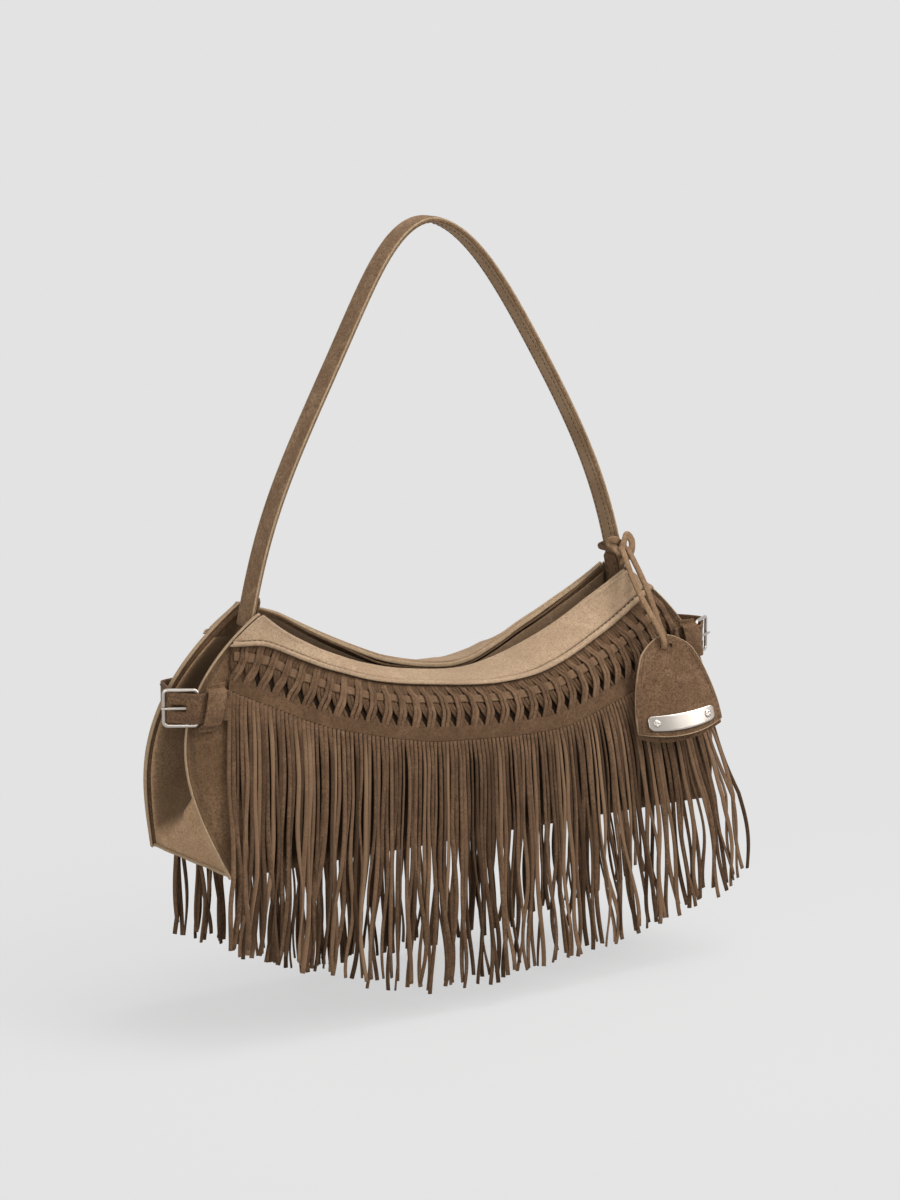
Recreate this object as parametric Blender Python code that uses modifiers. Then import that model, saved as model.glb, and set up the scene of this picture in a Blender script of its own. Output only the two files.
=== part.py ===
import math

import bmesh
import bpy
import numpy as np

# Metres. The bag's own frame has X across, Y from front (minus) to back, Z up from the base's underside.
# The finished model is lowered so that its origin is the underside of the strap at the top of the arch.

# Body
BASE_LENGTH = 0.376
BASE_DEPTH = 0.098
BASE_THICKNESS = 0.003
MOUTH_LENGTH = 0.286
MOUTH_END_GAP = 0.024
MOUTH_MIDDLE_GAP = 0.006
RIM_MIDDLE_HEIGHT = 0.1035
RIM_END_HEIGHT = 0.156
WING_FLARE = 0.018
BELLY = 0.013
SAG_CENTRE = 0.10
PANEL_THICKNESS = 0.0014
LINING_THICKNESS = 0.0008
LINING_CLEARANCE = 0.005
FACING_HEIGHT = 0.030
FACING_THICKNESS = 0.0012
FACING_INSET = 0.0045
FACING_DROP = 0.0038
GUSSET_THICKNESS = 0.0012
GUSSET_FOLD = 0.040
WING_LIP = 0.003
FIT = 0.0003

# Yoke and slit overlay, each laid over the panel at its own height above it
YOKE_THICKNESS = 0.0014
OVERLAY_THICKNESS = 0.0012
OVERLAY_LIFT = 0.0010
YOKE_EDGE_MIDDLE = 0.785
YOKE_EDGE_END = 0.905
SLIT_START_MIDDLE = 0.445
SLIT_START_END = 0.66
OVERLAY_TOP_SPAN = 0.955
OVERLAY_SLIT_SPAN = 0.875
CELLS = 28
THONGS_PER_CELL = 3
STRIP_GAP = 0.0016
THONG_GAP = 0.0009
BRAID_THONG_THICKNESS = 0.0010
BRAID_THONG_HEIGHT = 0.0052
CROSSING_LIFT = 0.0017
FRINGE_LENGTH = 0.152
FRINGE_FLARE = 0.024
BELLY_SHARE = 0.4
FRINGE_STANDOFF = 0.0040

# Strap
STRAP_WIDTH = 0.016
STRAP_DROP = 0.248
STRAP_FOOT_HEIGHT = 0.146
STRAP_FOOT_SPREAD = 0.006
STRAP_LEAN = -0.009
COVER_THICKNESS = 0.0015
CORE_THICKNESS = 0.0010
STRAP_LINING_THICKNESS = 0.0012
TAB_THICKNESS = 0.0015
TAB_WIDTH = 0.014
TAB_REACH = 0.016

# Side belts and buckles
BELT_HEIGHT = 0.104
BELT_WIDTH = 0.019
BELT_THICKNESS = 0.0014
CHAPE_WIDTH = 0.016
CHAPE_THICKNESS = 0.0009
KEEPER_WIDTH = 0.011
KEEPER_THICKNESS = 0.0012
KEEPER_FOOT = 0.004
KEEPER_ROOM = 0.0017
FRAME_LENGTH = 0.015
FRAME_WIRE = 0.0024
PRONG_DIAMETER = 0.0018
PRONG_SLOT = 0.004
BELT_END = 0.177
HEEL_BAR = 0.1965
BELT_ROUND = 0.2155

# Snap
SNAP_DIAMETER = 0.018
SNAP_THICKNESS = 0.0022
SNAP_DEPTH = 0.016

# Tag and its lace
TAG_WIDTH = 0.063
TAG_HEIGHT = 0.061
TAG_THICKNESS = 0.0015
TAG_TOP_WIDTH = 0.016
TAG_BULGE = 0.0075
TAG_BACK_DROP = 0.006
TAG_SLOT = 0.0055
TAG_SLOT_DROP = 0.0095
TAG_TILT = math.radians(14)
TAG_X = 0.154
TAG_Y = -0.0475
TAG_TOP = 0.1150
PLATE_LENGTH = 0.050
PLATE_HEIGHT = 0.0125
PLATE_THICKNESS = 0.0010
SCREW_DIAMETER = 0.0045
SCREW_HEIGHT = 0.0009
LACE_DIAMETER = 0.0036
KNOT_HEIGHT = 0.172
KNOT_WIDTH = 0.0075
KNOT_DEPTH = 0.0042

KNOT_DROP = 0.002

PANEL_COLUMNS = 24
PANEL_ROWS = 8
SLIDE = 1e-4


def smooth_path(points, count):
    """A smooth line through the points, with count points evenly spaced along its parameter."""
    p = np.asarray(points, float)
    p = np.vstack([2 * p[0] - p[1], p, 2 * p[-1] - p[-2]])
    at = np.linspace(0, len(p) - 3 - 1e-9, count)
    i = at.astype(int)
    f = (at - i)[:, None]
    a, b, c, d = p[i], p[i + 1], p[i + 2], p[i + 3]
    return 0.5 * (2 * b + (c - a) * f + (2 * a - 5 * b + 4 * c - d) * f**2 + (3 * b - a - 3 * c + d) * f**3)


def mix(a, b, share):
    return a + (b - a) * share


# The outer surface of the front panel: u runs from wing edge to wing edge, t from the base to the rim.
# The wing edge swells from the base's length and draws in to the mouth. The middle section is a dome.


def wing_edge(t):
    x = mix(BASE_LENGTH / 2, MOUTH_LENGTH / 2, t**4) + WING_FLARE * np.sin(math.pi * t)
    y = mix(MOUTH_END_GAP / 2, BASE_DEPTH / 2, (1 - t) ** 1.9)
    return x, y, RIM_END_HEIGHT * t


def middle_section(t):
    turn = np.clip(t, 0, 1) * math.pi / 2
    y = mix(MOUTH_MIDDLE_GAP / 2, BASE_DEPTH / 2, np.cos(turn) ** 0.7) + BELLY * np.sin(math.pi * t)
    return y, RIM_MIDDLE_HEIGHT * np.sin(turn)


def from_sag(u):
    """How far u is from the lowest place of the rim, 0 there and 1 at either wing edge."""
    off = u - SAG_CENTRE
    return np.abs(off) / (1 - SAG_CENTRE * np.sign(off))


def front_surface(u, t):
    u, t = np.broadcast_arrays(np.asarray(u, float), np.asarray(t, float))
    wx, wy, wz = wing_edge(t)
    my, mz = middle_section(t)
    away = from_sag(u)
    return np.stack([u * wx, -mix(my, wy, np.abs(u) ** 2.2), mix(mz, wz, away**1.6)], axis=-1)


def front_layer(u, t, lift):
    """The front surface moved out along its own normal by lift, which is minus for a layer inside it."""
    u, t = np.broadcast_arrays(np.asarray(u, float), np.asarray(t, float))
    v = np.clip(t, 0.02, 0.97)
    across = front_surface(u + SLIDE, v) - front_surface(u - SLIDE, v)
    up = front_surface(u, v + SLIDE) - front_surface(u, v - SLIDE)
    normal = np.cross(across, up)
    normal /= np.linalg.norm(normal, axis=-1, keepdims=True)
    return front_surface(u, t) + normal * np.asarray(lift, float)[..., None]


def yoke_edge(u):
    return mix(YOKE_EDGE_MIDDLE, YOKE_EDGE_END, from_sag(u))


def slit_start(u):
    return mix(SLIT_START_MIDDLE, SLIT_START_END, from_sag(u))


def rim_height(x):
    return front_surface(x / (MOUTH_LENGTH / 2), 1.0)[..., 2]


def wall_at(x, low, high):
    """The furthest that the front panel's outer face reaches forward between two heights, at x."""
    t = np.linspace(0.4, 0.95, 240)
    p = front_surface(np.clip(x / wing_edge(t)[0], 0, 1), t)
    inside = (p[:, 2] > low) & (p[:, 2] < high)
    return float(-p[inside, 1].min())


# Objects

parts = None
guides = None
bag = None
tag = None


def material(name, colour, roughness, metallic=0.0):
    m = bpy.data.materials.new(name)
    m.use_nodes = True
    shader = m.node_tree.nodes["Principled BSDF"]
    shader.inputs["Base Color"].default_value = (*colour, 1.0)
    shader.inputs["Roughness"].default_value = roughness
    shader.inputs["Metallic"].default_value = metallic
    m.diffuse_color = (*colour, 1.0)
    return m


SUEDE = (0.135, 0.082, 0.048)
LIGHT_SUEDE = (0.29, 0.20, 0.13)
DARK_SUEDE = (0.085, 0.048, 0.028)
LEATHER = (0.22, 0.16, 0.10)
CLOTH = (0.10, 0.075, 0.05)
SILVER = (0.75, 0.73, 0.70)


def place(obj, colour, roughness=0.9, metallic=0.0, parent=None):
    """Gives the object its own material, puts it in the bag's collection and hangs it on its parent."""
    obj.data.materials.clear()
    obj.data.materials.append(material(obj.name, colour, roughness, metallic))
    for collection in list(obj.users_collection):
        collection.objects.unlink(obj)
    parts.objects.link(obj)
    carrier = parent or bag
    obj.parent = carrier
    if carrier is not bag:
        obj.location = -carrier.location
    return obj


def mesh_object(name, bm):
    mesh = bpy.data.meshes.new(name)
    bm.to_mesh(mesh)
    bm.free()
    obj = bpy.data.objects.new(name, mesh)
    parts.objects.link(obj)
    return obj


def thicken(obj, thickness):
    solid = obj.modifiers.new("Thickness", "SOLIDIFY")
    solid.thickness = thickness
    solid.offset = 0.0
    solid.use_even_offset = False
    return obj


def finish_mesh(obj):
    """Applies the object's modifiers and turns every face outwards."""
    graph = bpy.context.evaluated_depsgraph_get()
    mesh = bpy.data.meshes.new_from_object(obj.evaluated_get(graph))
    bm = bmesh.new()
    bm.from_mesh(mesh)
    bmesh.ops.remove_doubles(bm, verts=bm.verts, dist=1e-6)
    bmesh.ops.recalc_face_normals(bm, faces=bm.faces)
    bm.to_mesh(mesh)
    bm.free()
    obj.modifiers.clear()
    obj.data = mesh
    return obj


def sheet(name, points, thickness, openings=(), ring=False):
    """A sheet of the given thickness whose middle lies on the points, an array of rows by columns.

    openings lists (row, column) faces that are left out, and ring joins the last column to the first.
    """
    rows, columns = points.shape[:2]
    bm = bmesh.new()
    bmesh.ops.create_grid(bm, x_segments=columns - 1, y_segments=rows - 1, size=1)
    for v, p in zip(bm.verts, points.reshape(-1, 3)):
        v.co = p
    if openings:
        bm.faces.ensure_lookup_table()
        wanted = {tuple(sorted(corner_numbers(r, c, columns))) for r, c in openings}
        gone = [f for f in bm.faces if tuple(sorted(v.index for v in f.verts)) in wanted]
        bmesh.ops.delete(bm, geom=gone, context="FACES")
    if ring:
        bmesh.ops.remove_doubles(bm, verts=bm.verts, dist=1e-6)
    return finish_mesh(thicken(mesh_object(name, bm), thickness))


def corner_numbers(row, column, columns):
    first = row * columns + column
    return first, first + 1, first + columns, first + columns + 1


def to_back(points):
    return points * np.array([1, -1, 1])


def wire(name, points, diameter, sides=1, cyclic=False):
    """A round wire through the points, made a mesh with its ends closed."""
    curve = bpy.data.curves.new(name, "CURVE")
    curve.dimensions = "3D"
    curve.bevel_depth = diameter / 2
    curve.bevel_resolution = sides
    curve.use_fill_caps = True
    spline = curve.splines.new("POLY")
    spline.points.add(len(points) - 1)
    for knot, p in zip(spline.points, points):
        knot.co = (*p, 1.0)
    spline.use_cyclic_u = cyclic
    rough = bpy.data.objects.new(name + "_line", curve)
    guides.objects.link(rough)
    bpy.context.view_layer.update()
    mesh = bpy.data.meshes.new_from_object(rough.evaluated_get(bpy.context.evaluated_depsgraph_get()))
    bpy.data.objects.remove(rough)
    obj = bpy.data.objects.new(name, mesh)
    parts.objects.link(obj)
    bm = bmesh.new()
    bm.from_mesh(mesh)
    bmesh.ops.remove_doubles(bm, verts=bm.verts, dist=1e-6)
    bmesh.ops.recalc_face_normals(bm, faces=bm.faces)
    bm.to_mesh(mesh)
    bm.free()
    mesh.shade_smooth()
    mesh.set_sharp_from_angle(angle=math.radians(40))
    return obj


def disc(name, centre, normal, diameter, thickness, sides=20):
    """A short round button with rounded edges, its axis along the normal."""
    bm = bmesh.new()
    bmesh.ops.create_cone(
        bm, cap_ends=True, segments=sides, radius1=diameter / 2, radius2=diameter / 2, depth=thickness
    )
    rims = [e for e in bm.edges if all(abs(v.co.z) > thickness / 4 for v in e.verts)
            and e.verts[0].co.z * e.verts[1].co.z > 0]
    bmesh.ops.bevel(bm, geom=rims, offset=thickness / 5, segments=1, affect="EDGES")
    obj = mesh_object(name, bm)
    z = np.asarray(normal, float) / np.linalg.norm(normal)
    x = np.cross([0.0, 0.0, 1.0], z) if abs(z[2]) < 0.9 else np.array([1.0, 0.0, 0.0])
    x /= np.linalg.norm(x)
    y = np.cross(z, x)
    for v in obj.data.vertices:
        c = v.co
        v.co = centre + x * c.x + y * c.y + z * c.z
    return obj


# Body pieces


def panel(name, flip):
    u = np.linspace(-1, 1, PANEL_COLUMNS + 1)
    t = 1 - np.linspace(1, 0, PANEL_ROWS + 1) ** 1.5
    p = front_layer(u[None, :], t[:, None], -PANEL_THICKNESS / 2)
    place(sheet(name, to_back(p) if flip else p, PANEL_THICKNESS), SUEDE)


def overlay_lift():
    return OVERLAY_LIFT + OVERLAY_THICKNESS / 2


def yoke_lift():
    return OVERLAY_LIFT + OVERLAY_THICKNESS + 2 * FIT + YOKE_THICKNESS / 2


def yoke(name, flip):
    """The smooth top piece, from the rim down over the overlay's top edge."""
    u = np.linspace(-0.985, 0.985, CELLS + 1)
    share = np.linspace(0, 1, 4)
    t = mix(yoke_edge(u)[None, :], 1.0, share[:, None])
    p = front_layer(u[None, :], t, yoke_lift())
    place(sheet(name, to_back(p) if flip else p, YOKE_THICKNESS), LIGHT_SUEDE, 0.8)


def facing_front(x):
    """How far forward of the middle the facing hangs inside the mouth."""
    end = MOUTH_END_GAP / 2 - PANEL_THICKNESS - FACING_THICKNESS - 2 * FIT
    return mix(FACING_INSET, end, (np.abs(x) / (MOUTH_LENGTH / 2)) ** 2)


def facing_top(x):
    return rim_height(x) - FACING_DROP


def facing(name, flip):
    """The strip that hangs inside the mouth, carries half the snap and meets the lining."""
    x = np.linspace(-facing_end(), facing_end(), 13)
    top = facing_top(x)
    y = -facing_front(x)
    p = np.stack([np.stack([x, y, top - FACING_HEIGHT], -1), np.stack([x, y, top], -1)])
    place(sheet(name, to_back(p) if flip else p, FACING_THICKNESS), LEATHER, 0.7)


def gusset(name, side):
    """The end wall between the two wing edges, flat at the base and folded in above it."""
    t = np.linspace(0.004, gusset_top(), 7)[:, None]
    s = np.linspace(-1, 1, 7)[None, :]
    x, y, z = wing_edge(t)
    fold = np.clip(t / 0.30 - 0.25, 0, 1) * np.clip((1.02 - t) / 0.30, 0.16, 1)
    depth = GUSSET_FOLD * fold
    reach = y - PANEL_THICKNESS - 4 * FIT
    p = np.stack(
        [side * (x - WING_LIP - depth * (1 - np.abs(s) ** 1.4)), s * reach, z + 0 * s], axis=-1
    )
    place(sheet(name, p, GUSSET_THICKNESS), DARK_SUEDE)


def gusset_top():
    return 1 - 0.017 / RIM_END_HEIGHT


def base():
    """The stiff bottom, whose underside is the bag's flat base."""
    inset = PANEL_THICKNESS + 6 * FIT
    long = BASE_LENGTH - 2 * (WING_LIP + GUSSET_THICKNESS + 2 * FIT)
    bm = bmesh.new()
    bmesh.ops.create_cube(bm, size=1)
    bmesh.ops.scale(bm, verts=bm.verts, vec=(long, BASE_DEPTH - 2 * inset, BASE_THICKNESS))
    bmesh.ops.translate(bm, verts=bm.verts, vec=(0, 0, BASE_THICKNESS / 2))
    place(mesh_object("base_panel", bm), SUEDE)


def panel_depth(x, z):
    """How far forward the front panel is at x and height z, below the dome."""
    t = np.linspace(0, 0.9, 200)
    out = np.zeros_like(x)
    for i in np.ndindex(x.shape):
        p = front_surface(np.clip(x[i] / wing_edge(t)[0], -1, 1), t)
        out[i] = np.interp(z[i], p[:, 2], -p[:, 1])
    return out


def lining():
    """The cloth bag inside: rings from just over the base up to the facings' lower edges."""
    front = np.arccos(np.linspace(1, -1, 13))
    around = np.concatenate([front, 2 * math.pi - front[-2::-1]])
    levels = np.linspace(0, 1, 5)
    half = facing_end() - 2 * FIT
    x = half * np.cos(around)
    top = facing_top(x) - FACING_HEIGHT - LINING_THICKNESS / 2 - 2 * FIT
    rows = []
    for level in levels:
        z = mix(BASE_THICKNESS + LINING_CLEARANCE / 2 + 0 * x, top, level)
        wide = panel_depth(x, z) - PANEL_THICKNESS - LINING_CLEARANCE
        if level == 1:
            wide = facing_front(x)
        y = -np.sin(around) * wide
        rows.append(np.stack([x, y, z], -1))
    floor = rows[0] * np.array([0.96, 0.0, 1.0])
    p = np.array([floor] + rows)
    p[:, -1] = p[:, 0]
    place(sheet("lining", p, LINING_THICKNESS, ring=True), CLOTH)


def snap():
    """The two halves of the magnetic snap, on the facings at the lowest place of the rim."""
    x = SAG_CENTRE * MOUTH_LENGTH / 2
    z = float(facing_top(np.array(x))) - SNAP_DEPTH
    face = float(facing_front(np.array(x))) - FACING_THICKNESS / 2 - FIT
    for name, side in (("snap_socket", -1), ("snap_stud", 1)):
        y = side * (face - SNAP_THICKNESS / 2)
        centre = np.array([x, y, z])
        half = disc(name, centre, [0, side, 0], SNAP_DIAMETER, min(SNAP_THICKNESS, face - FIT))
        place(half, SILVER, 0.3, 1.0)


# Overlay: one piece of suede, cut into strips that cross and, below a solid band, into the fringe


def overlay_point(column, row, lift):
    """column is -1 to 1 across the overlay. row is 0 at the yoke's edge and 1 where the slits start."""
    span = mix(OVERLAY_TOP_SPAN, OVERLAY_SLIT_SPAN, row)
    u = column * span
    t = mix(yoke_edge(u), slit_start(u), row)
    return front_layer(u, t, overlay_lift() + np.asarray(lift, float))


def fringe_levels(column):
    """Where a thong is drawn below its start: over the belly, just below the base and at its tip."""
    start = float(overlay_point(column, 1.0, 0.0)[2])
    below = (start + 0.002) / FRINGE_LENGTH
    return BELLY_SHARE * below, below, 1.0


def fringe_point(column, share):
    """A place on the hanging fringe: share is 0 where the slits start and 1 at the tips.

    A thong lies on the panel down to the furthest place of the belly, and hangs straight below it.
    """
    start = overlay_point(column, 1.0, 0.0)
    z = start[2] - FRINGE_LENGTH * share
    u = column * OVERLAY_SLIT_SPAN
    t = np.linspace(0, slit_start(u), 60)
    wall = front_surface(u, t)
    above = wall[:, 2] >= z
    forward = min(start[1], wall[above, 1].min() - FRINGE_STANDOFF)
    x = start[0] + FRINGE_FLARE * column * share**0.8
    return np.array([x, forward, z])


BRAID_TOP = -0.06
STRIP_TOP = 0.02
THONG_TOP = 0.09
THONG_BOTTOM = 0.28
CROSS_TOP = 0.44
CROSS_OVER = 0.53
CROSS_UNDER = 0.74
CROSS_BOTTOM = 0.84


def strip_over_lift():
    """How far a strip that passes over the braid's thong stands above one that passes under it."""
    return OVERLAY_THICKNESS + BRAID_THONG_THICKNESS + 2 * FIT


def fringe(name, flip):
    bm = bmesh.new()
    known = {}

    def vertex(p):
        q = np.array([p[0], -p[1] if flip else p[1], p[2]])
        key = tuple(np.round(q, 7))
        if key not in known:
            known[key] = bm.verts.new(q)
        return known[key]

    def strip(edges):
        for a, b in zip(edges[:-1], edges[1:]):
            bm.faces.new((vertex(a[0]), vertex(a[1]), vertex(b[1]), vertex(b[0])))

    cell = 2.0 / CELLS
    width = 2 * wing_edge(0.75)[0]
    strip_edge = STRIP_GAP / width
    thong_edge = THONG_GAP / width
    for c in range(CELLS):
        left = -1 + c * cell
        slots = [
            (left + k * cell / 2 + strip_edge, left + (k + 1) * cell / 2 - strip_edge) for k in range(2)
        ]
        thong_width = cell / THONGS_PER_CELL
        thongs = [
            (left + k * thong_width + thong_edge, left + (k + 1) * thong_width - thong_edge)
            for k in range(THONGS_PER_CELL)
        ]
        ends = (left, left + cell)

        def line(columns, row):
            return [overlay_point(x, row, 0.0) for x in columns]

        inner = [x for slot in slots for x in slot]
        cuts = [x for thong in thongs for x in thong]
        top = line(ends, BRAID_TOP) + line([ends[1], *inner[::-1], ends[0]], STRIP_TOP)
        bm.faces.new([vertex(p) for p in top])
        band = line([ends[0], *inner, ends[1]], CROSS_BOTTOM) + line([ends[1], *cuts[::-1], ends[0]], 1.0)
        bm.faces.new([vertex(p) for p in band])

        under, over = slots
        strip([
            [overlay_point(x, STRIP_TOP, 0.0) for x in under],
            [overlay_point(x, CROSS_TOP, 0.0) for x in under],
            [overlay_point(x, CROSS_BOTTOM, 0.0) for x in over],
        ])
        path = [
            (STRIP_TOP, 0.0, 0.0), (THONG_TOP, 0.0, strip_over_lift()),
            (THONG_BOTTOM, 0.0, strip_over_lift()), (CROSS_OVER, 0.22, CROSSING_LIFT),
            (CROSS_UNDER, 0.75, CROSSING_LIFT), (CROSS_BOTTOM, 1.0, 0.0),
        ]
        strip([
            [overlay_point(mix(a, b, slide), row, lift) for a, b in zip(over, under)]
            for row, slide, lift in path
        ])
        for a, b in thongs:
            levels = fringe_levels((a + b) / 2)
            strip([line((a, b), 1.0)] + [[fringe_point(a, s), fringe_point(b, s)] for s in levels])
    place(finish_mesh(thicken(mesh_object(name, bm), OVERLAY_THICKNESS)), DARK_SUEDE)


def braid_thong(name, flip):
    """The flat thong that runs over every second strip of the braid and under the others."""
    column = np.linspace(-0.985, 0.985, CELLS + 1)
    drop = wing_edge(0.75)[0] * 0.23
    middle = mix(THONG_TOP, THONG_BOTTOM, 0.5)
    half = BRAID_THONG_HEIGHT / drop / 2
    lift = OVERLAY_THICKNESS / 2 + FIT + BRAID_THONG_THICKNESS / 2
    p = np.stack([overlay_point(column, row, lift) for row in (middle - half, middle + half)])
    place(sheet(name, to_back(p) if flip else p, BRAID_THONG_THICKNESS), DARK_SUEDE)


# Strap


def strap_middle(s):
    """The strap's middle line: s is -1 at the left foot, 0 at the top and 1 at the right foot."""
    s = np.asarray(s, float)
    up = 1 - np.abs(s) ** 1.8
    foot = MOUTH_LENGTH / 2 + STRAP_FOOT_SPREAD / 2
    x = foot * np.sign(s) * (np.abs(s) + 0.03 * np.sin(2 * math.pi * up)) + STRAP_LEAN * up**4
    return np.stack([x, 0 * x, STRAP_FOOT_HEIGHT + STRAP_DROP * up], -1)


def strap_layer(s, outward):
    """The middle line moved outwards, away from the inside of the arch."""
    s = np.asarray(s, float)
    d = strap_middle(s + SLIDE) - strap_middle(s - SLIDE)
    normal = np.stack([-d[..., 2], 0 * d[..., 0], d[..., 0]], -1)
    normal /= np.linalg.norm(normal, axis=-1, keepdims=True)
    return strap_middle(s) + normal * outward


def strap_thickness():
    return COVER_THICKNESS + CORE_THICKNESS + STRAP_LINING_THICKNESS + 2 * FIT


def strap_ribbon(name, s, outward, width, thickness, colour, roughness):
    line = strap_layer(s, outward)
    side = np.array([0, width / 2, 0])
    place(sheet(name, np.stack([line - side, line + side]), thickness), colour, roughness)


def strap():
    outer = strap_thickness() / 2
    s = np.sin(np.linspace(-math.pi / 2, math.pi / 2, 33) * 0.985) / math.sin(math.pi / 2 * 0.985)
    inside = s[1:-1]
    cover = outer - COVER_THICKNESS / 2
    core = outer - COVER_THICKNESS - FIT - CORE_THICKNESS / 2
    inner = -outer + STRAP_LINING_THICKNESS / 2
    strap_ribbon("strap_cover", s, cover, STRAP_WIDTH, COVER_THICKNESS, SUEDE, 0.9)
    strap_ribbon("strap_core", inside, core, STRAP_WIDTH - 0.003, CORE_THICKNESS, CLOTH, 0.8)
    strap_ribbon("strap_lining", s, inner, STRAP_WIDTH - 0.001, STRAP_LINING_THICKNESS, LEATHER, 0.6)


def tab_outward():
    return -strap_thickness() / 2 - FIT - TAB_THICKNESS / 2


def foot_share(height):
    """The s at which the right foot of the strap reaches the height."""
    s = np.linspace(0.7, 1.0, 400)
    return float(np.interp(-height, -strap_middle(s)[:, 2], s))


def facing_end():
    low = RIM_END_HEIGHT - FACING_HEIGHT / 2
    return float(strap_layer(foot_share(low), tab_outward() - TAB_THICKNESS / 2)[0]) - 3 * FIT


def strap_tab(name, side):
    """The tab inside the mouth that the strap's foot is sewn to."""
    low = foot_share(STRAP_FOOT_HEIGHT)
    high = foot_share(STRAP_FOOT_HEIGHT + TAB_REACH)
    line = strap_layer(side * np.linspace(low, high, 4), tab_outward())
    half = np.array([0, TAB_WIDTH / 2, 0])
    place(sheet(name, np.stack([line - half, line + half]), TAB_THICKNESS), SUEDE)


# Belts and buckles, drawn in plan at the left end and mirrored for the right


def belt_wall(x):
    margin = BELT_WIDTH / 2 + 0.003
    return wall_at(min(x, 0.1935), BELT_HEIGHT - margin, BELT_HEIGHT + margin)


def heel_depth():
    """How far forward of the bag's middle plane the buckle's heel bar runs."""
    return belt_wall(HEEL_BAR) + 2 * FIT + CHAPE_THICKNESS + FIT + FRAME_WIRE / 2


def standing(name, plan, heights, thickness, side, openings=(), colour=SUEDE):
    """A band that stands on edge along a plan line, with a row of points at each height."""
    plan = np.asarray(plan, float)
    p = np.array([[(side * x, y, z) for x, y in plan] for z in heights])
    place(sheet(name, p, thickness, openings), colour)


def belt(name, side):
    """From the back panel round the end, under the outer bar, over the heel bar and to the keeper."""
    heel = heel_depth()
    over = FRAME_WIRE / 2 + FIT + CHAPE_THICKNESS + FIT + BELT_THICKNESS / 2
    under = FRAME_WIRE / 2 + FIT + BELT_THICKNESS / 2
    lie = 2 * FIT + BELT_THICKNESS / 2
    tip = HEEL_BAR + FRAME_LENGTH
    corners = [
        (BELT_END, belt_wall(BELT_END) + lie),
        ((BELT_END + HEEL_BAR) / 2, belt_wall((BELT_END + HEEL_BAR) / 2) + lie + 0.0006),
        (HEEL_BAR - 0.004, heel + over),
        (HEEL_BAR + 0.002, heel + over),
        (HEEL_BAR + FRAME_LENGTH / 2, heel + 0.0002),
        (tip - 0.001, heel - under - 0.0003),
        (BELT_ROUND - 0.0006, heel * 0.52),
        (BELT_ROUND, 0.0),
        (BELT_ROUND - 0.004, -0.6 * heel),
        (HEEL_BAR + 0.004, -0.92 * heel),
        (0.1935, -belt_wall(0.1935) - lie),
        ((BELT_END + 0.1935) / 2, -belt_wall((BELT_END + 0.1935) / 2) - lie),
        (BELT_END, -belt_wall(BELT_END) - lie),
    ]
    plan = smooth_path([(x, -y) for x, y in corners], 31)
    half = BELT_WIDTH / 2
    slot = PRONG_SLOT / 2
    heights = [BELT_HEIGHT + h for h in (-half, -slot, slot, half)]
    middle = (plan[:-1] + plan[1:]) / 2
    near = np.abs(middle[:, 0] - HEEL_BAR - FRAME_LENGTH / 2) < FRAME_LENGTH / 3
    holes = [(1, i) for i in np.flatnonzero(near & (middle[:, 1] < -heel / 2))]
    standing(name, plan, heights, BELT_THICKNESS, side, holes)


def chape(name, side):
    """The short strap sewn to the front panel, folded round the heel bar."""
    heel = heel_depth()
    around = FRAME_WIRE / 2 + FIT + CHAPE_THICKNESS / 2
    start = HEEL_BAR - 0.0065
    turn = np.linspace(-math.pi / 2, math.pi / 2, 7)
    plan = [(start, -heel + around + 0.0001)]
    plan += [(HEEL_BAR + around * math.cos(a), -heel - around * math.sin(a)) for a in turn]
    plan.append((HEEL_BAR - 0.002, -heel - around))
    half = CHAPE_WIDTH / 2
    slot = PRONG_SLOT / 2
    heights = [BELT_HEIGHT + h for h in (-half, -slot, slot, half)]
    standing(name, plan, heights, CHAPE_THICKNESS, side, [(1, i) for i in (3, 4, 5, 6)])


def keeper(name, side):
    """The loop over the belt, its two ends sewn flat to the front panel."""
    inner = BELT_END + 0.0015
    x = inner + KEEPER_WIDTH / 2
    half = BELT_WIDTH / 2 + 2 * FIT + KEEPER_THICKNESS / 2
    reach = half + KEEPER_FOOT + 0.001
    foot = wall_at(inner, BELT_HEIGHT - reach, BELT_HEIGHT + reach) + 2 * FIT + KEEPER_THICKNESS / 2
    top = belt_wall(inner) + 2 * FIT + BELT_THICKNESS + KEEPER_THICKNESS / 2 + KEEPER_ROOM
    upper = [
        (foot, half + KEEPER_FOOT), (foot, half + 0.0003), (top - 0.0006, half - 0.0002), (top, half - 0.0016)
    ]
    outline = upper + [(y, -z) for y, z in upper[::-1]]
    edge = np.linspace(x - KEEPER_WIDTH / 2, x + KEEPER_WIDTH / 2, 3)
    p = np.array([[(side * e, -y, BELT_HEIGHT + z) for y, z in outline] for e in edge])
    place(sheet(name, p, KEEPER_THICKNESS), SUEDE)


def buckle_frame(name, side):
    heel = heel_depth()
    half = BELT_WIDTH / 2 + 2 * FIT + FRAME_WIRE / 2
    round_off = 0.0022
    near = HEEL_BAR + round_off
    far = HEEL_BAR + FRAME_LENGTH - round_off
    high = half - round_off
    centres = [(near, -high, 180), (far, -high, 270), (far, high, 0), (near, high, 90)]
    points = []
    for x, z, start in centres:
        for step in (0, 30, 60, 90):
            a = math.radians(start + step)
            across = side * (x + round_off * math.cos(a))
            points.append((across, -heel, BELT_HEIGHT + z + round_off * math.sin(a)))
    place(wire(name, points, FRAME_WIRE, cyclic=True), SILVER, 0.2, 1.0)


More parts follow.
